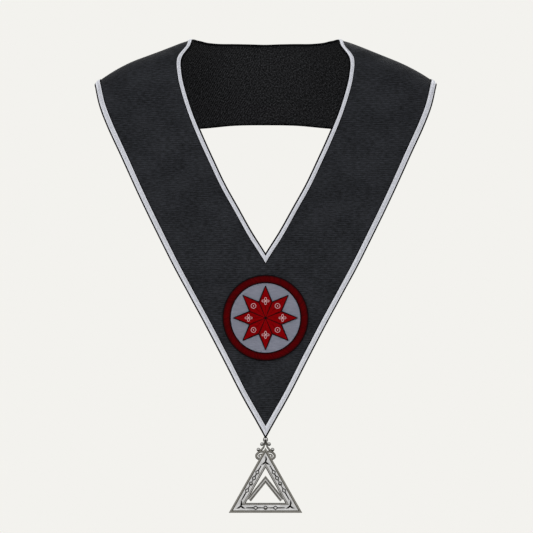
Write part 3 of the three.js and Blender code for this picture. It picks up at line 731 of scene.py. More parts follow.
@dataclass(frozen=True)
class BodyForm:
    """Shoulders and chest: a ridge line carried over a fore-and-aft profile."""

    front_radius: float = 48 * MM
    front_turn: float = math.radians(62)
    chest_radius: float = 500 * MM
    back_radius: float = 60 * MM
    back_turn: float = math.radians(80)
    nape_rise: float = 24 * MM
    nape_softness: float = 40 * MM
    shoulder_slope: float = 0.4
    shoulder_step: float = 1.3 * MM
    step_place: float = 93 * MM
    step_width: float = 8 * MM
    arm_start: float = 155 * MM
    arm_fall: float = 0.003 / MM
    torso_rounding: float = 0.22
    half_width: float = 211 * MM
    ripple_height: float = 0.35 * MM
    ripple_length: float = 95 * MM
    ripple_end: float = -430 * MM
    ripple_fade: float = 120 * MM
    ripple_lean: float = 0.35
    ripple_stretch: float = 0.62

    def profile(self, along: np.ndarray) -> tuple[np.ndarray, np.ndarray]:
        """How far back and down the form goes, at distances along it from the shoulder's top.

        Args:
            along: the distances, below zero in front.

        Returns:
            How far back and how far down each place lies.
        """
        behind = np.maximum(along, 0)
        back_turned = np.minimum(behind / self.back_radius, self.back_turn)
        back_straight = behind - back_turned * self.back_radius
        ahead = np.maximum(-along, 0)
        turned = np.minimum(ahead / self.front_radius, self.front_turn)
        past = ahead - turned * self.front_radius
        chest = np.minimum(self.front_turn + past / self.chest_radius, math.pi / 2)
        straight = past - (chest - self.front_turn) * self.chest_radius
        back = (
            self.back_radius * np.sin(back_turned)
            + back_straight * math.cos(self.back_turn)
            - self.front_radius * np.sin(turned)
            - self.chest_radius * (np.sin(chest) - math.sin(self.front_turn)) * (past > 0)
        )
        down = (
            self.back_radius * (1 - np.cos(back_turned))
            + back_straight * math.sin(self.back_turn)
            + self.front_radius * (1 - np.cos(turned))
            + self.chest_radius * (math.cos(self.front_turn) - np.cos(chest)) * (past > 0)
            + straight * (past > 0)
        )
        return back, down

    def ridge(self, x: np.ndarray) -> np.ndarray:
        """The height of the shoulder line.

        Args:
            x: places across.

        Returns:
            The height at each.
        """
        fall = self.shoulder_slope * (np.hypot(x, self.nape_softness) - self.nape_softness)
        past_arm = np.maximum(np.abs(x) - self.arm_start, 0)
        step = self.shoulder_step * np.tanh((np.abs(x) - self.step_place) / self.step_width)
        return self.nape_rise - fall - self.arm_fall * past_arm**2 + step

    def point(self, x: np.ndarray, along: np.ndarray) -> np.ndarray:
        """Points on the form.

        Args:
            x: places across.
            along: distances along, below zero in front.

        Returns:
            The points.
        """
        back, down = self.profile(along)
        rounding = 1 - self.torso_rounding * (x / self.half_width) ** 2
        return np.stack([x, back * rounding, self.ridge(x) - down], -1)

    def outward(self, x: np.ndarray, along: np.ndarray) -> np.ndarray:
        """Directions square to the form, away from the wearer.

        Args:
            x: places across.
            along: distances along, below zero in front.

        Returns:
            The directions.
        """
        step = 0.01 * MM
        across = self.point(x + step, along) - self.point(x - step, along)
        downward = self.point(x, along - step) - self.point(x, along + step)
        return unit(np.cross(downward, across))

    def ripple(self, x: np.ndarray, along: np.ndarray) -> np.ndarray:
        """How the cloth lies a little proud here and there, fading out towards the point.

        Args:
            x: places across.
            along: distances along, below zero in front.

        Returns:
            The heights.
        """
        wave = TURN / self.ripple_length
        leaning = np.sin(wave * (x + self.ripple_lean * along) + 0.6)
        swell = leaning * np.sin(self.ripple_stretch * wave * along + 1.9)
        fade = np.clip((along - self.ripple_end) / self.ripple_fade, 0, 1)
        return self.ripple_height * swell * fade

    def over(self, x: np.ndarray, along: np.ndarray, height: np.ndarray | float) -> np.ndarray:
        """Points at a height over the form."""
        lift = height + self.ripple(x, along)
        return self.point(x, along) + self.outward(x, along) * np.asarray(lift)[..., None]

    def along_at(self, x: np.ndarray, z: np.ndarray) -> np.ndarray:
        """The distance along the front at a height, below the chest's curve.

        Args:
            x: places across.
            z: heights.

        Returns:
            The distances, below zero in front.
        """
        upright = self.front_radius * self.front_turn
        upright += self.chest_radius * (math.pi / 2 - self.front_turn)
        _, down = self.profile(np.asarray(-upright))
        return -(upright + (self.ridge(x) - z - down))


class Edge(Enum):
    """The ribbon's two edges, with the share across at which each lies."""

    NECK = 0
    HEM = 1


@dataclass(frozen=True)
class Row:
    """One line across the ribbon, as shares of the edges' widths and lengths."""

    neck_out: float
    neck_along: float
    hem_out: float
    hem_along: float

    def shares(self, edge: Edge) -> tuple[float, float]:
        """The shares out and along at an edge."""
        return (self.neck_out, self.neck_along) if edge is Edge.NECK else (self.hem_out, self.hem_along)


@dataclass(frozen=True)
class CollarPattern:
    """The collar's outline on the form. Rows count from the point, up the right and round the back."""

    form: BodyForm = BodyForm()
    neck_half_width: float = 104.5 * MM
    hem_half_width: float = 211 * MM
    neck_front: float = 322.2 * MM
    hem_front: float = 550.7 * MM
    neck_back: float = 61 * MM
    hem_back: float = 162.7 * MM
    probe: float = 0.02
    fine_rows: int = 3000
    front_rows: tuple[Row, ...] = (
        Row(0.000, 1.000, 0.000, 1.000),
        Row(0.161, 0.913, 0.133, 0.902),
        Row(0.320, 0.810, 0.256, 0.797),
        Row(0.476, 0.704, 0.383, 0.688),
        Row(0.612, 0.595, 0.516, 0.580),
        Row(0.739, 0.487, 0.643, 0.465),
        Row(0.858, 0.376, 0.755, 0.358),
        Row(0.936, 0.284, 0.852, 0.255),
        Row(0.979, 0.210, 0.926, 0.171),
        Row(0.983, 0.142, 0.977, 0.098),
        Row(0.880, 0.080, 0.998, 0.034),
        Row(0.852, 0.000, 0.998, 0.000),
    )
    back_rows: tuple[Row, ...] = (
        Row(0.815, 0.240, 0.985, 0.260),
        Row(0.760, 0.395, 0.935, 0.430),
        Row(0.680, 0.565, 0.835, 0.600),
        Row(0.545, 0.730, 0.670, 0.757),
        Row(0.383, 0.853, 0.475, 0.866),
        Row(0.190, 0.955, 0.237, 0.950),
        Row(0.000, 1.000, 0.000, 1.000),
    )

    @property
    def seam(self) -> int:
        """The row of the right shoulder seam."""
        return len(self.front_rows)

    @property
    def last(self) -> int:
        """The row at which the outline is back at the point."""
        return 2 * (len(self.front_rows) + len(self.back_rows) - 1)

    def outline(self, edge: Edge) -> np.ndarray:
        """An edge's points across and along, all the way round.

        Args:
            edge: the edge.

        Returns:
            The points, from the front point up the right and round the back.
        """
        neck = edge is Edge.NECK
        width = self.neck_half_width if neck else self.hem_half_width
        front = self.neck_front if neck else self.hem_front
        back = self.neck_back if neck else self.hem_back
        ahead = [row.shares(edge) for row in self.front_rows]
        behind = [row.shares(edge) for row in self.back_rows]
        right = [(out * width, -along * front) for out, along in ahead]
        right += [(out * width, along * back) for out, along in behind]
        left = [(-x, along) for x, along in reversed(right[:-1])]
        return np.array(right + left)

    def place(self, rows: np.ndarray, shares: np.ndarray) -> tuple[np.ndarray, np.ndarray]:
        """Places across and along, where shares run from the neck edge, 0, to the hem, 1.

        Args:
            rows: which rows.
            shares: how far across each row.

        Returns:
            The places across and along.
        """
        neck = spline(self.outline(Edge.NECK), rows)
        hem = spline(self.outline(Edge.HEM), rows)
        spot = neck + (hem - neck) * shares[..., None]
        return spot[..., 0], spot[..., 1]

    def at(self, rows: np.ndarray, shares: np.ndarray, height: np.ndarray | float) -> np.ndarray:
        """Points over the cloth."""
        x, along = self.place(rows, shares)
        return self.form.over(x, along, height)

    def share_at(self, rows: np.ndarray, edge: Edge, distance: np.ndarray | float) -> np.ndarray:
        """The shares at which a line parallel to an edge, this far in from it, crosses rows.

        Args:
            rows: which rows.
            edge: the edge.
            distance: how far in from it.

        Returns:
            The shares.
        """
        near = np.full(rows.shape, float(edge.value))
        before = self.form.point(*self.place(np.maximum(rows - self.probe, 0), near))
        after = self.form.point(*self.place(np.minimum(rows + self.probe, self.last), near))
        opposite = self.form.point(*self.place(rows, 1 - near))
        across = opposite - self.form.point(*self.place(rows, near))
        slant = np.linalg.norm(np.cross(unit(across), unit(after - before)), axis=-1)
        share = distance / slant / np.linalg.norm(across, axis=-1)
        return share if edge is Edge.NECK else 1 - share

    def from_edge(
        self, rows: np.ndarray, edge: Edge, distance: np.ndarray | float, height: np.ndarray | float
    ) -> np.ndarray:
        """Points a distance in from an edge and a height over the cloth."""
        return self.at(rows, self.share_at(rows, edge, distance), height)

    def swept(self, rows: np.ndarray, edge: Edge, section: np.ndarray) -> np.ndarray:
        """A section of distances and heights, carried along an edge.

        Args:
            rows: the rows at which it stands.
            edge: the edge that it follows.
            section: rows of distance in from the edge and height over the cloth.

        Returns:
            Points by row and by place round the section.
        """
        grid = np.broadcast_to(rows[:, None], (len(rows), len(section)))
        return self.from_edge(grid, edge, section[None, :, 0], section[None, :, 1])

    def paced(self, edge: Edge, distance: float, pitch: float) -> tuple[np.ndarray, float]:
        """Rows at even steps along a line parallel to an edge, and the step's true length.

        Args:
            edge: the edge.
            distance: how far in from it the line lies.
            pitch: about how long a step is.

        Returns:
            The rows, and how long a step came out.
        """
        rows = np.linspace(0, self.last, self.fine_rows)
        line = self.from_edge(rows, edge, distance, 0.0)
        steps = np.linalg.norm(np.diff(line, axis=0), axis=1)
        arc = np.concatenate([[0], np.cumsum(steps)])
        count = round(arc[-1] / pitch)
        return np.interp(np.arange(count) * arc[-1] / count, arc, rows), arc[-1] / count


# Cloth


@dataclass
class ClothPanels:
    """The ribbon's three panels, their lining, and the stitches that hold it."""

    pattern: CollarPattern
    ribbon: float = 1.6 * MM
    lining: float = 1.0 * MM
    gap: float = 0.3 * MM
    inset: float = 2.0 * MM
    steps: int = 9
    across: int = 30
    roll: float = 0.3
    strip: float = 0.105
    stitch: float = 3.2 * MM
    stitch_inset: float = 1.4 * MM
    stitch_radius: float = 0.16 * MM

    def rows(self, first: int, last: int) -> np.ndarray:
        """Fine rows between two of the pattern's rows."""
        return np.linspace(first, last, (last - first) * self.steps + 1)

    def panel(
        self, name: str, first: int, last: int, inset: float, high: float, low: float, finish: Finish
    ) -> bpy.types.Object:
        """One panel of cloth with rounded edges.

        Args:
            name: the piece's name.
            first: the row where it starts.
            last: the row where it ends.
            inset: how far it lies in from the collar's edges.
            high: the height of its outer side.
            low: the height of its inner side.
            finish: its finish.

        Returns:
            The panel.
        """
        rows = self.rows(first, last)
        spread = (1 - np.cos(np.linspace(0, math.pi, self.across))) / 2
        spread = 0.5 * spread + 0.5 * np.linspace(0, 1, self.across)
        near = self.pattern.share_at(rows, Edge.NECK, inset)
        far = self.pattern.share_at(rows, Edge.HEM, inset)
        shares = near[:, None] + (far - near)[:, None] * spread[None, :]
        grid = np.broadcast_to(rows[:, None], shares.shape)
        x, along = self.pattern.place(grid, shares)
        meets_left = last == self.pattern.last
        if first == 0 or meets_left:
            x = np.minimum(x, 0) if meets_left else np.maximum(x, 0)
        roll = np.zeros(self.across)
        roll[[0, -1]] = self.roll * (high - low)
        outer = self.pattern.form.over(x, along, high - roll[None, :])
        inner = self.pattern.form.over(x, along, low + roll[None, :])
        place = np.stack([x, along + self.pattern.form.ridge(x)], -1)
        piece = Piece(name, finish)
        piece.loft(
            np.concatenate([outer, inner[:, ::-1]], 1),
            places=np.concatenate([place, place[:, ::-1]], 1),
        )
        return piece.build()

    def flat_size(self, piece: bpy.types.Object) -> tuple[tuple[float, float], float]:
        """A panel's cut, from its own mesh: the strip's width and length, and its area.

        Args:
            piece: the panel.

        Returns:
            The flat width and length, and the flat area.
        """
        area = sum(face.area for face in piece.data.polygons) / 2
        return (self.strip, max(area / self.strip, self.strip)), area

    def make(self) -> None:
        """Builds and dresses all the panels."""
        seam, last = self.pattern.seam, self.pattern.last
        spans = {"right": (0, seam), "back": (seam, last - seam), "left": (last - seam, last)}
        outer = -self.ribbon - self.gap
        inner = outer - self.lining
        for side, (first, end) in spans.items():
            node = "back_ribbon" if side == "back" else f"front_ribbon_{side}"
            ribbon = self.panel(f"ribbon_{side}", first, end, 0.0, 0.0, -self.ribbon, Finish.RIBBON)
            wear(ribbon, [node])
            lining = self.panel(
                f"lining_cloth_{side}", first, end, self.inset, outer, inner, Finish.LINING
            )
            wear(lining, [f"lining_{side}"])
            for cloth, rests_on in ((ribbon, lining.name), (lining, ribbon.name)):
                flat, area = self.flat_size(cloth)
                log.info("%s is cut %.0f by %.0f mm", cloth.name, flat[0] / MM, flat[1] / MM)
        wear(self.lining_stitches())

    def lining_stitches(self) -> bpy.types.Object:
        """The row of slip stitches that holds the lining along both edges.

        Returns:
            The stitches.
        """
        piece = Piece("lining_stitches", Finish.BLACK_YARN)
        height = -self.ribbon - self.gap - self.lining - 0.05 * MM
        for edge in Edge:
            distance = self.inset + self.stitch_inset
            starts, _ = self.pattern.paced(edge, distance, self.stitch)
            reach = 0.5 * np.gradient(starts)
            rows = starts[:, None] + reach[:, None] * np.linspace(0, 1, 4)[None, :]
            rows = np.minimum(rows, self.pattern.last)
            lift = np.array([0.1, -0.16, -0.16, 0.1]) * MM
            paths = self.pattern.from_edge(rows, edge, distance, height + lift[None, :])
            x, along = self.pattern.place(starts, self.pattern.share_at(starts, edge, distance))
            piece.strands(paths, self.pattern.form.outward(x, along), self.stitch_radius, 4)
        return piece.build()


@dataclass
class LaceBorder:
    """A flat silver lace along one edge, between a black binding and a black cord that is also a painted
    shadow along the lace's inner side.
    """

    pattern: CollarPattern
    edge: Edge
    node: str
    width: float
    ribbon: float = 1.6 * MM
    margin: float = 1.8 * MM
    seat: float = 0.1 * MM
    edge_height: float = 0.7 * MM
    crown: float = 0.3 * MM
    pitch: float = 1.1 * MM
    yarn: float = 0.3 * MM
    yarn_slant: float = 0.75
    side_cord: float = 0.34 * MM
    side_inset: float = 0.1 * MM
    # The inner black cord's radius; the cord is also a painted shadow along the lace's inner side.
    shadow_piping: float = 0.55 * MM
    band_step: float = 3.0 * MM
    line_step: float = 2.4 * MM

    def ground(self) -> bpy.types.Object:
        """The woven band under the surface yarns.

        Returns:
            The band.
        """
        share = np.linspace(0, 1, 7)
        crowned = self.seat + self.edge_height + self.crown * np.sin(math.pi * share)
        top = np.stack([self.margin + self.width * share, crowned], 1)
        bottom = np.stack([self.margin + self.width * share[::-1], np.full(7, self.seat)], 1)
        rows, _ = self.pattern.paced(self.edge, self.margin + self.width / 2, self.band_step)
        piece = Piece(f"{self.node}_ground", Finish.LACE_GROUND)
        piece.loft(self.pattern.swept(rows, self.edge, np.concatenate([top, bottom])), loop=True)
        return piece.build()

    def herringbone(self) -> bpy.types.Object:
        """The surface yarns: slanting floats from the middle to both sides, and a cord at each side.

        Returns:
            The yarns.
        """
        piece = Piece(f"{self.node}_yarns", Finish.SILVER_YARN)
        middle = self.margin + self.width / 2
        rows, pace = self.pattern.paced(self.edge, middle, self.pitch)
        per_row = np.gradient(rows) / pace
        reach = self.width / 2 - 0.5 * self.yarn
        for side in (-1, 1):
            share = np.linspace(0, 1, 4)
            distance = middle + side * reach * share
            lag = self.yarn_slant * reach * share
            grid = rows[:, None] + per_row[:, None] * lag[None, :]
            inside = grid.max(1) < self.pattern.last
            grid = grid[inside]
            crown = self.crown * np.cos(0.5 * math.pi * share)
            height = self.seat + self.edge_height + crown + np.array([-0.05, 0.2, 0.2, -0.05]) * MM
            paths = self.pattern.from_edge(grid, self.edge, distance[None, :], height[None, :])
            starts = grid[:, 0]
            x, along = self.pattern.place(starts, self.pattern.share_at(starts, self.edge, middle))
            piece.strands(paths, self.pattern.form.outward(x, along), self.yarn, 4, 0.5)
        for distance in (self.margin + self.side_inset, self.margin + self.width - self.side_inset):
            self.line(piece, distance, self.seat + self.edge_height, self.side_cord)
        return piece.build()

    def line(self, piece: Piece, distance: float, height: float, radius: float) -> None:
        """Adds a cord that runs all along the edge.

        Args:
            piece: the piece that it joins.
            distance: how far in from the edge it lies.
            height: how high its middle is over the cloth.
            radius: half its thickness.
        """
        rows, _ = self.pattern.paced(self.edge, distance, self.line_step)
        section = split_circle(7) * radius + np.array([distance, height])
        piece.loft(self.pattern.swept(rows, self.edge, section), loop=True)

    def binding(self) -> bpy.types.Object:
        """The black binding that wraps the ribbon's edge, and the black cord inside the lace, which is also a
        painted shadow along it.

        Returns:
            Both, as one piece.
        """
        piece = Piece(f"{self.node}_binding", Finish.BLACK_YARN)
        back = -self.ribbon / MM
        section = MM * np.array([
            (1.9, 0.0), (1.8, 0.3), (0.8, 0.45), (0.0, 0.32), (-0.3, 0.0), (-0.38, 0.5 * back),
            (-0.3, back - 0.1), (0.1, back - 0.28), (1.5, back - 0.2), (1.7, back + 0.1),
        ])
        rows, _ = self.pattern.paced(self.edge, 0.0, self.line_step)
        piece.loft(self.pattern.swept(rows, self.edge, section), loop=True)
        # The inner black cord, which is also a painted shadow along the lace's inner side.
        self.line(piece, self.margin + self.width + self.shadow_piping, 0.6 * self.shadow_piping, self.shadow_piping)
        return piece.build()

    def make(self) -> None:
        """Builds and dresses the border."""
        wear(self.ground(), [self.node])
        wear(self.herringbone())
        wear(self.binding())


# The roundel


@dataclass
class Roundel:
    """The embroidered badge: a red cord round a grey ground with an eight-pointed star."""

    form: BodyForm
    drop: float = 343 * MM
    cord_radius: float = 52 * MM
    cord_width: float = 8.2 * MM
    cord_height: float = 2.4 * MM
    field_low: float = 1.1 * MM
    star_radius: float = 39.5 * MM
    star_waist: float = 0.541
    rays: int = 8
    line: float = 0.56 * MM
    motif_place: float = 0.53
    motif_radius: float = 4.4 * MM
    knot_share: float = 0.68
    felt_margin: float = 1.1 * MM
    silk_stitch: float = 7.5 * MM
    silk_pitch: float = 0.52 * MM
    silk_thread: float = 0.27 * MM
    silk_rise: float = 0.14 * MM
    cord_stitches: int = 270
    cord_slant: float = 0.13
    cord_thread: float = 0.62 * MM
    cord_lobes: int = 45
    border_line: float = 0.8 * MM
    ray_thread: float = 0.26 * MM
    ray_rise: float = 0.38 * MM
    figure_thread: float = 0.3 * MM
    figure_dot: float = 0.8 * MM

    def on_chest(self, across: np.ndarray, up: np.ndarray, height: np.ndarray | float) -> np.ndarray:
        """Points over the chest, measured across and up from the badge's middle."""
        return self.form.over(across, self.form.along_at(across, up - self.drop), height)

    def outward(self, across: np.ndarray, up: np.ndarray) -> np.ndarray:
        """Directions away from the chest."""
        return self.form.outward(across, self.form.along_at(across, up - self.drop))

    def ring(self, piece: Piece, radius: float, section: np.ndarray, steps: int = 160) -> None:
        """Adds a section of distances out and heights, carried round a circle.

        Args:
            piece: the piece that it joins.
            radius: the circle's radius.
            section: rows of distance out from the circle and height over the chest.
            steps: how many sections there are.
        """
        turned = split_circle(steps)
        out = radius + section[None, :, 0]
        height = np.broadcast_to(section[None, :, 1], (steps, len(section)))
        piece.loft(self.on_chest(turned[:, :1] * out, turned[:, 1:] * out, height), loop=True)

    def disc(self, name: str, finish: Finish, radius: float, low: float, high: float) -> bpy.types.Object:
        """A flat round of cloth with a soft edge.

        Args:
            name: the piece's name.
            finish: its finish.
            radius: its radius.
            low: the height of its under side.
            high: the height of its face.

        Returns:
            The round.
        """
        piece = Piece(name, finish)
        shares = np.array([0.004, 0.3, 0.6, 0.85, 0.985, 1.0])
        drops = np.array([0.0, 0.0, 0.0, 0.0, 0.0, 0.5]) * (high - low)
        radii = np.concatenate([shares, shares[::-1]]) * radius
        heights = np.concatenate([high - drops, low + 0 * drops])
        self.ring(piece, 0.0, np.stack([radii, heights], 1), 96)
        return piece.build()

    def threads(
        self, piece: Piece, starts: np.ndarray, ends: np.ndarray, base: float, radius: float, rise: float
    ) -> None:
        """Adds satin stitches between points of the badge.

        Args:
            piece: the piece that they join.
            starts: where they come up, across and up from the middle.
            ends: where they go down.
            base: the height of the ground.
            radius: half a thread's thickness.
            rise: how far a stitch's middle stands above its ends.
        """
        share = np.linspace(0, 1, 4)
        flat = starts[:, None, :] + (ends - starts)[:, None, :] * share[None, :, None]
        height = base + rise * np.sin(math.pi * share) ** 0.7
        height = np.broadcast_to(height[None, :], flat.shape[:2])
        paths = self.on_chest(flat[..., 0], flat[..., 1], height)
        middle = (starts + ends) / 2
        piece.strands(paths, self.outward(middle[:, 0], middle[:, 1]), radius, 4, 0.5)

    def couched(
        self, piece: Piece, route: np.ndarray, base: float, radius: float, loop: bool = False
    ) -> None:
        """Adds a laid cord.

        Args:
            piece: the piece that it joins.
            route: its points across and up from the badge's middle.
            base: the height of its own middle.
            radius: half its thickness.
            loop: whether its end joins its start.
        """
        centre = self.on_chest(route[:, 0], route[:, 1], base)
        ups = self.outward(route[:, 0], route[:, 1])
        if loop:
            ahead = np.roll(centre, -1, 0) - np.roll(centre, 1, 0)
        else:
            ahead = np.gradient(centre, axis=0)
        sideways = unit(np.cross(ahead, ups))
        circle = split_circle(6) * radius
        across, up = circle[None, :, :1], circle[None, :, 1:]
        rings = centre[:, None] + across * sideways[:, None] + up * ups[:, None]
        piece.loft(rings, loop=loop)

    def field_threads(self) -> bpy.types.Object:
        """The grey ground: long stitches laid in rows, like bricks.

        Returns:
            The stitches.
        """
        piece = Piece("badge_ground_silk", Finish.GREY_SILK)
        radius = self.cord_radius - self.cord_width + 0.4 * MM
        stitch = self.silk_stitch
        starts, ends = [], []
        for index, up in enumerate(np.arange(-radius + self.silk_pitch, radius, self.silk_pitch)):
            half = math.sqrt(radius**2 - up**2)
            shift = (index * 0.37 % 1) * stitch
            cuts = np.arange(-half + shift, half, stitch)
            cuts = np.unique(np.concatenate([[-half], cuts[cuts > -half + stitch / 4], [half]]))
            starts.extend((a, up) for a in cuts[:-1])
            ends.extend((b, up) for b in cuts[1:])
        base = self.field_low + 0.45 * MM
        self.threads(piece, np.array(starts), np.array(ends), base, self.silk_thread, self.silk_rise)
        return piece.build()

    def cord(self) -> bpy.types.Object:
        """The red cord: slanting stitches over a half-round core, with painted shade towards both its sides.

        Returns:
            The cord.
        """
        piece = Piece("badge_red_cord", Finish.RED_CORD)
        radius, half = self.cord_radius - self.cord_width / 2, self.cord_width / 2
        arc = np.linspace(0, math.pi, 9)
        low = self.field_low
        rise = self.cord_height - 0.4 * MM
        top = np.stack([half * 0.96 * np.cos(arc), low + rise * np.sin(arc)], 1)
        foot = np.array([(-half * 0.9, low - 0.2 * MM), (half * 0.9, low - 0.2 * MM)])
        self.ring(piece, radius, np.concatenate([top, foot]))
        share = np.linspace(0, 1, 9)
        start = TURN * np.arange(self.cord_stitches)[:, None] / self.cord_stitches
        angle = start + self.cord_slant * share[None, :]
        leaning = np.cos(math.pi * share)
        out = radius - half * leaning[None, :]
        lobes = 0.12 * MM * np.sin(self.cord_lobes * start)
        crown = self.cord_height - 0.25 * MM
        height = low + crown * np.sin(math.pi * share)[None, :] ** 0.8 + lobes
        across, up = out * np.cos(angle), out * np.sin(angle)
        paths = self.on_chest(across, up, height)
        radial = np.stack([np.cos(angle), 0 * angle, np.sin(angle)], -1)
        ups = unit(self.outward(across, up) - 0.8 * radial * leaning[None, :, None])
        # Painted shade: each stitch darkens towards the cord's sides, where it turns away.
        edges = 0.75 * np.abs(leaning) ** 2.5
        piece.strands(paths, ups, self.cord_thread, 5, 0.8, edges)
        return piece.build()

    def outlines(self) -> bpy.types.Object:
        """The black lines round the cord and the star, and between the rays.

        Returns:
            The lines.
        """
        piece = Piece("badge_black_lines", Finish.BLACK_YARN)
        inner = self.cord_radius - self.cord_width
        for radius, height in ((self.cord_radius + 0.3 * MM, 1.3 * MM), (inner - 0.2 * MM, 1.9 * MM)):
            self.ring(piece, radius, split_circle(7) * self.border_line + np.array([0.0, height]))
        corners = self.star_corners()
        high = self.field_low + 1.3 * MM
        share = np.linspace(0, 1, 7)[:, None]
        for start, end in zip(corners, np.roll(corners, -1, 0)):
            self.couched(piece, start + (end - start) * share, high, self.line)
        for waist in corners[1::2]:
            self.couched(piece, waist * share, high + 0.2 * MM, 0.8 * self.line)
        return piece.build()

    def star_corners(self) -> np.ndarray:
        """The star's points and waists in turn, from the top.

        Returns:
            Their places across and up.
        """
        count = 2 * self.rays
        angle = TURN * np.arange(count) / count
        radius = np.where(np.arange(count) % 2 == 0, 1.0, self.star_waist) * self.star_radius
        return np.stack([-radius * np.sin(angle), radius * np.cos(angle)], 1)

    def ground(self) -> bpy.types.Object:
        """The black star under the rays.

        Returns:
            The star.
        """
        piece = Piece("star_black_ground", Finish.BLACK_FELT)
        corners = self.star_corners()
        rim = np.concatenate([
            start + (end - start) * np.linspace(0, 1, 6)[:-1, None]
            for start, end in zip(corners, np.roll(corners, -1, 0))
        ])
        low, high = self.field_low + 0.5 * MM, self.field_low + 0.95 * MM
        shares = np.array([0.005, 0.35, 0.7, 1.0])
        levels = [(share, high) for share in shares] + [(share, low) for share in shares[::-1]]
        layers = [self.on_chest(rim[:, 0] * share, rim[:, 1] * share, level) for share, level in levels]
        piece.loft(np.stack(layers, 1), loop=True)
        return piece.build()

    def ray(self, index: int) -> bpy.types.Object:
        """One ray in satin stitch, slanting from its spine to its edges.

        Args:
            index: which ray, from the top and against the clock.

        Returns:
            The ray.
        """
        piece = Piece(f"star_ray_silk_{index + 1}", Finish.RED_SILK)
        corners = self.star_corners()
        tip = corners[2 * index]
        base = self.field_low + 1.15 * MM
        for side in (-1, 1):
            waist = corners[(2 * index + side) % len(corners)]
            share = np.arange(0.035, 0.985, 0.011)
            lower = share < 0.5
            edge = np.where(
                lower[:, None],
                waist[None, :] * (2 * share[:, None]),
                waist[None, :] + (tip - waist)[None, :] * (2 * share[:, None] - 1),
            )
            spine = tip[None, :] * np.maximum(share - 0.09, 0.01)[:, None]
            inward = spine - edge
            inset = np.minimum(0.55 * MM, 0.3 * np.linalg.norm(inward, axis=1))
            edge = edge + unit(inward) * inset[:, None]
            self.threads(piece, spine, edge, base, self.ray_thread, self.ray_rise)
        return piece.build()

    def motif(self, index: int) -> bpy.types.Object:
        """A small figure in pale thread: a four-petalled flower, or a ring with a knot in it.

        Args:
            index: which ray it lies on.

        Returns:
            The figure.
        """
        piece = Piece(f"star_figure_{index + 1}", Finish.PALE_YARN)
        angle = TURN * index / self.rays
        centre = self.motif_place * self.star_radius * np.array([-math.sin(angle), math.cos(angle)])
        base = self.field_low + 1.75 * MM
        turn = np.linspace(0, TURN, 73)[:-1]
        if index % 2 == 0:
            reach = self.motif_radius * np.cos(2 * turn)
            route = np.stack([reach * np.cos(turn + angle), reach * np.sin(turn + angle)], 1)
        else:
            route = self.knot_share * self.motif_radius * np.stack([np.cos(turn), np.sin(turn)], 1)
        self.couched(piece, centre + route, base, self.figure_thread, loop=True)
        dot = split_circle(10) * self.figure_dot
        levels = ((0.25, 0.62), (0.75, 0.45), (1.0, 0.1), (0.9, -0.35))
        rings = [
            self.on_chest(centre[0] + dot[:, 0] * size, centre[1] + dot[:, 1] * size, base + rise * MM)
            for size, rise in levels
        ]
        piece.loft(np.stack(rings))
        return piece.build()

    def make(self) -> None:
        """Builds and dresses the badge."""
        felt_radius = self.cord_radius + self.felt_margin
        backing = self.disc("badge_felt", Finish.BLACK_FELT, felt_radius, 0.05 * MM, 0.85 * MM)
        wear(backing, ["badge_backing"])
        field_radius = self.cord_radius - self.cord_width + 0.6 * MM
        field_high = self.field_low + 0.35 * MM
        ground = self.disc("badge_ground", Finish.GREY_SILK, field_radius, 0.8 * MM, field_high)
        wear(ground, ["badge_field"])
        wear(self.field_threads())
        wear(self.cord(), ["badge_cord"])
        wear(self.ground(), ["star_ground"])
        wear(self.outlines())
        for index in range(self.rays):
            wear(self.ray(index), [f"star_ray_{index + 1}"])
            wear(self.motif(index), [f"star_motif_{index + 1}"])


# The jewel


@dataclass(frozen=True)
class Level:
    """One contour of a raised ornament.

    It gives its size as a share of the outline, its height over the face in millimetres, and how dark it is
    with patina and painted shade.
    """

    size: float
    height: float
    patina_and_shade: float


# The last number of each level is how dark it is: patina and painted shade, darkest round each ornament's
# foot.
VEIN_STEPS = (
    Level(1.5, -0.1, 1.0), Level(1.25, 0.05, 1.0), Level(0.7, 0.4, 0.95), Level(0.3, 0.5, 0.9),
    Level(0.05, 0.5, 0.9),
)
LOZENGE_STEPS = (
    Level(1.3, -0.1, 1.1), Level(1.18, 0.06, 1.1), Level(0.74, 0.25, 1.1), Level(0.6, 0.6, 0.4),
    Level(0.48, 0.62, 0.0), Level(0.2, 0.56, 0.0), Level(0.04, 0.5, 0.0),
)
SOCKET_STEPS = (
    Level(1.35, -0.1, 1.1), Level(1.25, 0.15, 1.1), Level(0.5, 0.16, 1.1), Level(0.04, 0.16, 1.1),
)
LEAF_STEPS = (
    Level(1.25, -0.1, 1.0), Level(1.0, 0.0, 1.0), Level(0.72, 0.42, 1.0), Level(0.4, 0.6, 0.95),
    Level(0.03, 0.66, 0.9),
)


@dataclass(frozen=True)
class Leaf:
    """One of a corner's three leaves: its direction in degrees, its length and its bend."""

    turn: float
    length: float
    bend: float


@dataclass(frozen=True)
class Scroll:
    """One scroll of the crest: its route, its wire's radius at the start and end, and its knob's.

    The route is in shares of the crest's height: out from the triangle's edge, and below the loop's bar.
    """

    route: tuple[tuple[float, float], ...]
    start: float
    end: float
    knob: float = 0.0


class Boss(Enum):
    """What stands on the middle of a bar, between its veins."""

    LOZENGE = "lozenge"
    BEAD = "bead"


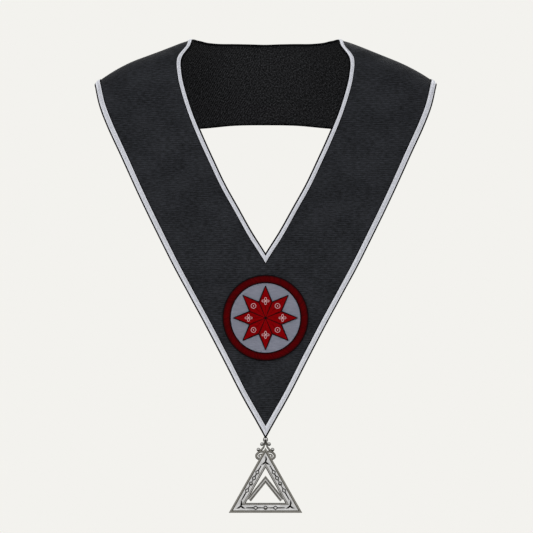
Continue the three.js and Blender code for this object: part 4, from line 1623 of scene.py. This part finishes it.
LEAVES = (Leaf(90, 8.0 * MM, -0.8 * MM), Leaf(210, 7.3 * MM, 0.9 * MM), Leaf(330, 7.3 * MM, -0.9 * MM))
EAR = Scroll(((0.030, 0.130), (0.120, 0.153), (0.200, 0.168)), 1.5 * MM, 1.4 * MM, 2.3 * MM)
LONG_SCROLL = Scroll(
    (
        (0.055, 0.183), (0.079, 0.262), (0.109, 0.341), (0.142, 0.420),
        (0.170, 0.495), (0.230, 0.530), (0.290, 0.515), (0.331, 0.470),
    ),
    1.0 * MM, 1.2 * MM, 2.3 * MM,
)
SIDE_SCROLL = Scroll(
    (
        (-0.025, 0.578), (0.083, 0.582), (0.190, 0.600), (0.259, 0.668),
        (0.271, 0.776), (0.196, 0.895), (0.066, 0.975), (-0.030, 1.000),
    ),
    1.25 * MM, 1.35 * MM,
)
HOOK = Scroll(
    ((-0.027, 0.725), (0.075, 0.742), (0.122, 0.795), (0.070, 0.858)),
    0.8 * MM, 0.75 * MM, 1.2 * MM,
)
# The stem's radius and its place below the loop's bar, in shares of the crest's height
STEM = (
    (0.074, 0.053), (0.097, 0.074), (0.111, 0.100), (0.111, 0.125), (0.099, 0.152), (0.077, 0.178),
    (0.024, 0.204),
)
# How dark each of the stem's rings is, patina and painted shade together, darkest at its narrow ends.
STEM_PATINA_AND_SHADE = (1.0, 0.9, 0.75, 0.7, 0.75, 0.85, 1.0)
# Each boss's place as a share of its bar's length
SIDE_BOSSES = ((0.34, Boss.LOZENGE), (0.43, Boss.LOZENGE), (0.515, Boss.BEAD), (0.62, Boss.LOZENGE))
BASE_BOSSES = ((0.365, Boss.LOZENGE), (0.5, Boss.BEAD), (0.635, Boss.LOZENGE))
# Where each vein starts and ends on its bar, and how full it is
VEINS = ((0.26, 0.5, 0.7), (0.5, 0.74, 1.6))
# The square's moulding: millimetres in from its outer edge and forwards, and how dark it is
MOULDING = (
    (0.0, -0.5, 0.6), (0.0, 1.2, 0.6), (0.25, 1.5, 0.42), (0.6, 1.6, 0.36), (1.1, 1.5, 0.45),
    (1.35, 1.15, 0.75), (1.7, 1.15, 0.75), (1.95, 1.85, 0.4), (2.45, 2.1, 0.28), (3.45, 2.1, 0.28),
    (3.95, 1.85, 0.4), (4.2, 1.15, 0.75), (4.55, 1.15, 0.75), (4.8, 1.5, 0.45), (5.3, 1.6, 0.36),
    (5.65, 1.5, 0.42), (5.9, 1.2, 0.6), (5.9, -0.5, 0.6),
)


@dataclass(frozen=True)
class Bar:
    """One bar of the triangle: its outer corners, its directions along and inwards, and its width."""

    start: np.ndarray
    end: np.ndarray
    ahead: np.ndarray
    inward: np.ndarray
    width: float

    def middle(self, share: float) -> np.ndarray:
        """The middle of the bar at a share of its length."""
        return self.start + (self.end - self.start) * share + self.inward * self.width / 2


@dataclass
class Jewel:
    """The silver jewel: a pierced triangle with a square in it, under a crest of scrolls.

    Its own plane has x across, y up from the loop's bar, and z to the front.
    """

    pivot: Vector
    apex_drop: float = 8.1 * MM
    base: float = 90.8 * MM
    height: float = 80.5 * MM
    bar: float = 12.3 * MM
    back: float = -1.0 * MM
    face: float = 0.9 * MM
    rim: float = 1.75 * MM
    square_place: float = 0.43
    square_spread: float = math.radians(9.4)
    square_overlap: float = 1.2 * MM
    crest: float = 22.3 * MM
    bail_bore: float = 0.9 * MM
    bail_wall: float = 1.4 * MM
    bail_length: float = 2.9 * MM
    bail_edge: float = 0.25 * MM
    bead: float = 2.1 * MM
    bead_sink: float = 0.9 * MM
    socket: float = 2.0 * MM
    lozenge_length: float = 3.4 * MM
    lozenge_width: float = 2.4 * MM
    vein: float = 0.22 * MM
    vein_swell: float = 0.45 * MM
    leaf_heart: float = 17.4 * MM
    leaf_width: float = 1.12 * MM

    def placed(self, flat: np.ndarray, height: np.ndarray | float) -> np.ndarray:
        """Points of the jewel's plane in the model's frame.

        Args:
            flat: places across and up.
            height: places in the jewel's depth, one for all or one each.

        Returns:
            The points.
        """
        height = np.broadcast_to(height, flat.shape[:-1])
        x, y, z = self.pivot
        return np.stack([x + flat[..., 0], y - height, z + flat[..., 1]], -1)

    @property
    def side_turn(self) -> float:
        """The angle of the triangle's sides from upright."""
        return math.atan2(self.base / 2, self.height)

    def corners(self, inset: float) -> np.ndarray:
        """The triangle's corners, top, left and right, moved in from its edges.

        Args:
            inset: how far in.

        Returns:
            The corners' places across and up.
        """
        foot = -self.apex_drop - self.height
        outline = np.array([(0, -self.apex_drop), (-self.base / 2, foot), (self.base / 2, foot)])
        ahead = unit(np.roll(outline, -1, 0) - outline)
        behind = unit(np.roll(outline, 1, 0) - outline)
        inward = unit(ahead + behind)
        sine = np.abs(inward[:, 0] * ahead[:, 1] - inward[:, 1] * ahead[:, 0])
        return outline + inward * (inset / sine)[:, None]

    def frame(self, piece: Piece) -> None:
        """Adds the pierced triangle, with a raised rim at each side of its bars.

        Args:
            piece: the piece that it joins.
        """
        bar, deep, rim = self.bar / MM, self.back / MM, self.rim / MM
        face = self.face / MM
        # Each row: millimetres in from the outer edge and forwards, and how dark the metal is there: grey
        # rims, and patina with painted shade in the grooves and on the walls.
        section = [
            (0.35, deep, 0.7), (0.0, deep + 0.35, 0.75), (0.0, rim - 0.65, 0.75), (0.18, rim - 0.28, 0.6),
            (0.6, rim - 0.05, 0.46), (1.15, rim, 0.4), (1.7, rim - 0.1, 0.46), (2.15, rim - 0.4, 0.6),
            (2.45, face, 0.8), (2.75, face - 0.1, 0.7), (3.2, face, 0.08), (4.2, face + 0.06, 0.0),
            (bar / 2, face + 0.08, 0.0), (8.6, face + 0.06, 0.0), (9.4, face, 0.08), (9.8, face - 0.1, 0.6),
            (10.15, face, 0.5), (10.4, rim - 0.45, 0.3), (10.85, rim - 0.12, 0.2), (11.3, rim - 0.05, 0.55),
            (11.8, rim - 0.2, 0.95), (12.15, rim - 0.55, 1.1), (bar, rim - 0.9, 1.1), (bar, deep + 0.35, 0.9),
            (bar - 0.35, deep, 0.7),
        ]
        rings = np.stack([self.placed(self.corners(inset * MM), up * MM) for inset, up, _ in section], 1)
        steps = np.linspace(0, 1, 25)[:-1]
        following = np.roll(rings, -1, 0)
        sides = [
            ring[None] + (after - ring)[None] * steps[:, None, None]
            for ring, after in zip(rings, following)
        ]
        patina_and_shade_marks = np.array([patina_and_shade for _, _, patina_and_shade in section])
        piece.loft(np.concatenate(sides), loop=True, marks=patina_and_shade_marks)

    def ornament(self, piece: Piece, outline: np.ndarray, levels: Sequence[Level]) -> None:
        """Adds a raised ornament on the face: an outline stepped inwards level by level.

        Args:
            piece: the piece that it joins.
            outline: its outline across and up.
            levels: its contours, from the outside.
        """
        middle = outline.mean(0)
        rings = [
            self.placed(middle + (outline - middle) * level.size, self.face + level.height * MM)
            for level in levels
        ]
        marks = np.repeat([level.patina_and_shade for level in levels], len(outline))
        piece.loft(np.stack(rings), marks=marks)

    def bar_between(self, start: np.ndarray, end: np.ndarray) -> Bar:
        """The bar between two of the triangle's outer corners.

        Args:
            start: the corner where it starts.
            end: the corner where it ends.

        Returns:
            The bar.
        """
        ahead = unit(end - start)
        inward = np.array([-ahead[1], ahead[0]])
        towards = np.sign(np.dot(self.corners(0).mean(0) - start, inward))
        return Bar(start, end, ahead, inward * towards, self.bar)

    def bar_ornaments(self, piece: Piece, bar: Bar, bosses: Sequence[tuple[float, Boss]]) -> None:
        """Adds a vein with lozenges and beads along the middle of a bar.

        Args:
            piece: the piece that they join.
            bar: the bar.
            bosses: for each boss, its share of the bar's length and its kind.
        """
        for low, high, fullness in VEINS:
            near, far = bar.middle(low), bar.middle(high)
            line = near + (far - near) * np.linspace(0, 1, 9)[:, None]
            swell = np.sin(math.pi * np.linspace(0.1, 0.9, 9) ** fullness) * self.vein_swell + self.vein
            upper = line + bar.inward * swell[:, None]
            lower = line - bar.inward * swell[:, None]
            self.ornament(piece, np.concatenate([upper, lower[::-1]]), VEIN_STEPS)
        for share, boss in bosses:
            if boss is Boss.BEAD:
                self.ornament(piece, bar.middle(share) + split_circle(20) * self.socket, SOCKET_STEPS)
                self.ball(piece, bar.middle(share), self.bead, self.face - self.bead_sink, 0.0)
            else:
                self.ornament(piece, bar.middle(share) + self.lozenge(bar), LOZENGE_STEPS)

    def lozenge(self, bar: Bar) -> np.ndarray:
        """A lozenge's outline with sides that bulge a little, across and up from its middle.

        Args:
            bar: the bar that it lies along.

        Returns:
            The outline.
        """
        length, width = bar.ahead * self.lozenge_length, bar.inward * self.lozenge_width
        corners = np.array([length, width, -length, -width])
        share = np.linspace(0, 1, 5)[:-1, None]
        outline = np.concatenate([a + (b - a) * share for a, b in zip(corners, np.roll(corners, -1, 0))])
        bulge = 1 + 0.05 * np.sin(np.linspace(0, TURN * 4, len(outline), endpoint=False) - TURN / 4)
        return outline * bulge[:, None]

    def corner_leaves(self, piece: Piece, corner: np.ndarray) -> None:
        """Adds three curved leaves that meet inside a corner.

        Args:
            piece: the piece that they join.
            corner: the corner's place across and up.
        """
        towards = unit(self.corners(0).mean(0) - corner)
        heart = corner + towards * self.leaf_heart
        t = np.linspace(0, 1, 10)
        half = self.leaf_width * np.sin(math.pi * (0.16 + 0.84 * t) ** 0.8) + 0.05 * MM
        for leaf in LEAVES:
            angle = math.radians(leaf.turn)
            ahead = np.array([math.cos(angle), math.sin(angle)])
            beside = np.array([-ahead[1], ahead[0]])
            bent = beside * (leaf.bend * np.sin(math.pi * t))[:, None]
            spine = heart + ahead * (leaf.length * t[:, None] - 0.3 * MM) + bent
            edge = beside * half[:, None]
            self.ornament(piece, np.concatenate([spine + edge, (spine - edge)[::-1]]), LEAF_STEPS)

    def square(self, piece: Piece) -> None:
        """Adds the mason's square: a mitred moulding whose arms end on the triangle's inner rims.

        Args:
            piece: the piece that it joins.
        """
        half_angle = self.side_turn + self.square_spread
        drop = self.apex_drop + self.square_place * self.height
        to_frame = (drop - self.apex_drop) * math.sin(self.side_turn) - self.bar
        length = (to_frame + self.square_overlap) / math.sin(self.square_spread)
        moulding = np.array(MOULDING)
        depth, rise = moulding[:, 0] * MM, moulding[:, 1] * MM
        sections = []
        for side, reach in ((-1, length), (0, depth / math.tan(half_angle)), (1, length)):
            x = side * (reach * math.sin(half_angle) - depth * math.cos(half_angle))
            y = -drop - reach * math.cos(half_angle) - depth * math.sin(half_angle)
            sections.append(self.placed(np.stack([x, y], 1), rise))
        steps = np.linspace(0, 1, 12)[:, None, None]
        left = sections[0][None] + (sections[1] - sections[0])[None] * steps
        right = sections[1][None] + (sections[2] - sections[1])[None] * steps[1:]
        piece.loft(np.concatenate([left, right]), marks=moulding[:, 2])

    def tube(self, piece: Piece, spine: np.ndarray, radius: np.ndarray | float, shade: float) -> None:
        """Adds round wire along a line in the jewel's plane, with painted shade on its sides and more
        underneath.

        Args:
            piece: the piece that it joins.
            spine: the wire's middle line.
            radius: half its thickness, one for all or one for each point.
            shade: how much painted shade it has on top.
        """
        ahead = unit(np.gradient(spine, axis=0))
        beside = np.stack([-ahead[:, 1], ahead[:, 0]], 1)
        circle = split_circle(12)
        thick = np.broadcast_to(radius, len(spine))[:, None]
        flat = spine[:, None, :] + beside[:, None, :] * (thick * circle[None, :, 0])[..., None]
        # Painted shade: darker towards the wire's sides, and more where it faces down.
        facing_down = np.maximum(0, -beside[:, None, 1] * circle[None, :, 0])
        marks = shade + 0.3 * np.abs(circle[None, :, 0]) + 0.5 * facing_down
        piece.loft(self.placed(flat, thick * circle[None, :, 1]), marks=marks)

    def scroll(self, piece: Piece, side: int, scroll: Scroll) -> None:
        """Adds one scroll of the crest, with its knob.

        Args:
            piece: the piece that it joins.
            side: 1 on the right, -1 on the left.
            scroll: which scroll.
        """
        shares = np.array(scroll.route) * self.crest
        edge = np.maximum(0, shares[:, 1] - self.apex_drop) * math.tan(self.side_turn)
        points = np.stack([side * (edge + shares[:, 0]), -shares[:, 1]], 1)
        spine = spline(points, np.linspace(0, len(points) - 1, 8 * len(points)))
        share = np.linspace(0, 1, len(spine))
        radius = scroll.start + (scroll.end - scroll.start) * share + 0.12 * MM * np.sin(math.pi * share)
        # The crest's wire gets painted shade on top, on its sides and underneath.
        self.tube(piece, spine, radius, 0.4)
        if scroll.knob:
            self.ball(piece, spine[-1], scroll.knob, 0.0, -math.pi / 2)

    def ball(self, piece: Piece, centre: np.ndarray, radius: float, level: float, lowest: float) -> None:
        """Adds a round knob or a dome, with painted shade round its rim and underneath.

        Args:
            piece: the piece that it joins.
            centre: its middle in the jewel's plane.
            radius: its radius.
            level: its middle's place in the jewel's depth.
            lowest: the angle where it starts at the back, from level with its middle.
        """
        angles = np.linspace(lowest + 0.02, math.pi / 2 - 0.02, 11)
        circle = split_circle(16)
        rings = [
            self.placed(centre + circle * radius * math.cos(angle), level + radius * math.sin(angle))
            for angle in angles
        ]
        # Painted shade: darker round the rim and where the surface faces down.
        facing_down = np.maximum(0, -np.cos(angles)[:, None] * circle[None, :, 1])
        rim = np.cos(angles)[:, None] ** 3
        piece.loft(np.stack(rings), marks=0.2 + 0.4 * rim + 1.4 * facing_down)

    def crest_scrolls(self, piece: Piece) -> None:
        """Adds the stem, the ears, and the scrolls that curl down to the triangle's sides.

        Args:
            piece: the piece that they join.
        """
        for side in (-1, 1):
            for scroll in (EAR, LONG_SCROLL, SIDE_SCROLL, HOOK):
                self.scroll(piece, side, scroll)
        circle = split_circle(16)
        rings = []
        for radius, below in np.array(STEM) * self.crest:
            flat = np.stack([circle[:, 0] * radius, np.full(len(circle), -below)], 1)
            rings.append(self.placed(flat, circle[:, 1] * radius))
        piece.loft(np.stack(rings), marks=np.repeat(STEM_PATINA_AND_SHADE, len(circle)))

    def bail(self, piece: Piece) -> None:
        """Adds the short tube that turns round the loop's bar.

        Args:
            piece: the piece that it joins.
        """
        inner, outer = self.bail_bore, self.bail_bore + self.bail_wall
        half, edge = self.bail_length / 2, self.bail_edge
        section = np.array([
            (inner, edge - half), (inner + edge / 2, -half), (outer - edge, -half), (outer, edge - half),
            (outer, half - edge), (outer - edge, half), (inner + edge / 2, half), (inner, half - edge),
        ])
        around = split_circle(32)
        flat = np.stack([
            np.broadcast_to(section[:, 1], (len(around), len(section))), around[:, 1:] * section[:, 0],
        ], -1)
        piece.loft(self.placed(flat, around[:, :1] * section[:, 0]), loop=True, marks=0.8)

    def make(self) -> None:
        """Builds and dresses the jewel."""
        piece = Piece("jewel_silver", Finish.SILVER)
        self.frame(piece)
        top, left, right = self.corners(0)
        self.bar_ornaments(piece, self.bar_between(top, left), SIDE_BOSSES)
        self.bar_ornaments(piece, self.bar_between(top, right), SIDE_BOSSES)
        self.bar_ornaments(piece, self.bar_between(left, right), BASE_BOSSES)
        for corner in (top, left, right):
            self.corner_leaves(piece, corner)
        self.square(piece)
        self.crest_scrolls(piece)
        self.bail(piece)
        wear(piece.build(35.0), ["jewel"], JEWEL_BODY)


@dataclass
class HangingLoop:
    """The wire loop behind the point, with a straight bar, on a tab that is sewn to the lining."""

    jewel: Jewel
    wire: float = 0.6 * MM
    bar: float = 4.8 * MM
    side: float = 2.6 * MM
    rise: float = 5.2 * MM
    rise_width: float = 1.8 * MM
    bend: float = 0.35 * MM
    foot_width: float = 1.2 * MM
    width: float = 9 * MM
    taper: float = 7.6 * MM
    height: float = 15 * MM
    thickness: float = 1.0 * MM
    foot: float = 3.7 * MM
    corner: float = 0.3 * MM

    def make(self) -> None:
        """Builds and dresses the loop."""
        piece = Piece("silver_loop", Finish.SILVER)
        half, top_half, bend = self.bar / 2, self.rise_width / 2, self.bend
        right = np.array([
            (half - 2 * bend, 0), (half - bend, 0), (half - 0.1 * bend, 0.1 * bend), (half, bend),
            (half, 2 * bend), (half, self.side - bend), (half - 0.1 * bend, self.side + 0.3 * bend),
            (half - bend, self.side + 2.2 * bend), (top_half, self.rise),
        ])
        left = right[::-1] * (-1, 1)
        route = np.concatenate([left, right])
        # The loop's wire gets painted shade on top, on its sides and underneath.
        self.jewel.tube(piece, route, self.wire, 0.6)
        half, narrow, top = self.width / 2, self.foot_width / 2, self.foot + self.height
        outline = np.array([
            (-narrow, self.foot), (narrow, self.foot), (half, self.foot + self.taper),
            (half, top - self.corner), (half - self.corner, top), (self.corner - half, top),
            (-half, top - self.corner), (-half, self.foot + self.taper),
        ])
        middle = outline.mean(0)
        front, back = self.wire, self.wire - self.thickness
        levels = ((0.95, front), (1.0, front - 0.2 * MM), (1.0, back + 0.2 * MM), (0.95, back))
        rings = [self.jewel.placed(middle + (outline - middle) * size, level) for size, level in levels]
        piece.loft(np.stack(rings), marks=0.3)
        wear(piece.build(), ["jewel_loop"])
        wear(self.stitches())

    def stitches(self) -> bpy.types.Object:
        """The black stitches that hold the tab at both sides.

        Returns:
            The stitches.
        """
        piece = Piece("loop_stitches", Finish.BLACK_YARN)
        steps = np.array([1.3, 0.6, -1.0, -1.6]) * MM
        lift = np.array([0.8, 0.1, -0.45, -0.15]) * MM
        heights = self.foot + self.taper + np.array([1.5, 2.6, 5.0, 6.1]) * MM
        paths = np.array([
            self.jewel.placed(np.stack([side * (self.width / 2 + steps), np.full(4, up)], 1), lift)
            for side in (-1, 1) for up in heights
        ])
        ups = np.broadcast_to(np.array([0.0, 1.0, 0.0]), (len(paths), 3))
        piece.strands(paths, ups, 0.28 * MM, 6)
        return piece.build()


# The studio


@dataclass(frozen=True)
class Lamp:
    """A soft square light."""

    name: str
    place: tuple[float, float, float]
    size: float
    power: float


@dataclass
class Studio:
    """A pale floor, soft light and a camera straight in front."""

    pixel: float = 1.235 * MM
    picture: int = 533
    centre: tuple[float, float] = (1.2 * MM, -279.5 * MM)
    subject: float = -80 * MM
    distance: float = 4.0
    floor: float = -0.70
    floor_radius: float = 1.3
    aim: float = -0.27
    air: tuple[float, ...] = colour(243, 242, 238)
    sky: tuple[tuple[float, float], ...] = (
        (0.0, 0.35), (0.42, 0.82), (0.47, 1.0), (0.53, 1.0), (0.62, 0.95), (1.0, 1.05),
    )
    lamps: tuple[Lamp, ...] = (
        Lamp("key", (-1.3, -2.4, 1.3), 1.6, 26.0),
        Lamp("fill", (1.8, -2.2, 0.3), 1.8, 10.0),
        Lamp("back", (0.4, 2.2, 1.2), 1.6, 14.0),
    )

    def camera(self) -> None:
        """Places the camera so that a pixel of the picture covers its real size."""
        data = bpy.data.cameras.new("camera")
        data.type = "ORTHO"
        data.ortho_scale = self.pixel * self.picture
        camera = shown("camera", data)
        camera.location = (self.centre[0], self.subject - self.distance, self.centre[1])
        camera.rotation_euler = (math.pi / 2, 0, 0)
        bpy.context.scene.camera = camera

    def light(self, lamp: Lamp) -> None:
        """Adds a light that faces the collar.

        Args:
            lamp: its name, place, size and power.
        """
        data = bpy.data.lights.new(lamp.name, "AREA")
        data.size = lamp.size
        data.energy = lamp.power
        light = shown(lamp.name, data)
        light.location = lamp.place
        aim = Vector((0, self.subject, self.aim)) - Vector(lamp.place)
        light.rotation_euler = aim.to_track_quat("-Z", "Y").to_euler()

    def surround(self) -> None:
        """Makes the air pale all round, brighter from above."""
        world = bpy.data.worlds.new("pale_air")
        world.use_nodes = True
        nodes = Nodes(world.node_tree, "ShaderNodeOutputWorld")
        way = nodes.node("ShaderNodeTexCoord", {}, {}, "Generated")
        rise = nodes.node("ShaderNodeMapRange", {}, {"Value": nodes.part(way, "Z"), "From Min": -1.0})
        red, green, blue = self.air[:3]
        stops = [(place, (red * power, green * power, blue * power, 1.0)) for place, power in self.sky]
        shade = nodes.node("ShaderNodeValToRGB", {"stops": stops}, {"Fac": rise})
        air = nodes.node("ShaderNodeBackground", {}, {"Color": shade})
        nodes.feed(nodes.output.inputs["Surface"], air)
        bpy.context.scene.world = world

    def ground(self) -> None:
        """Lays the floor."""
        mesh = bpy.data.meshes.new("floor")
        rim = split_circle(96) * self.floor_radius
        mesh.from_pydata([(x, y, self.floor) for x, y in rim], [], [list(range(len(rim)))])
        mesh.materials.append(Finish.FLOOR.material())
        shown("floor", mesh)

    def make(self) -> None:
        """Builds the studio."""
        self.camera()
        self.surround()
        self.ground()
        for lamp in self.lamps:
            self.light(lamp)
        view = bpy.context.scene.view_settings
        view.view_transform = "Standard"
        view.look = "None"


def main() -> None:
    """Builds the collar piece by piece."""
    logging.basicConfig(level=logging.INFO, format="%(name)s: %(message)s")
    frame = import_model()
    joint = frame["joints"][0]
    Studio().make()
    pattern = CollarPattern()
    ClothPanels(pattern).make()
    LaceBorder(pattern, Edge.NECK, "neck_lace", 4.0 * MM).make()
    LaceBorder(pattern, Edge.HEM, "hem_lace", 5.0 * MM).make()
    Roundel(pattern.form).make()
    jewel = Jewel(Vector(joint["pos_m"]))
    jewel.make()
    HangingLoop(jewel).make()


if __name__ == "__main__":
    main()
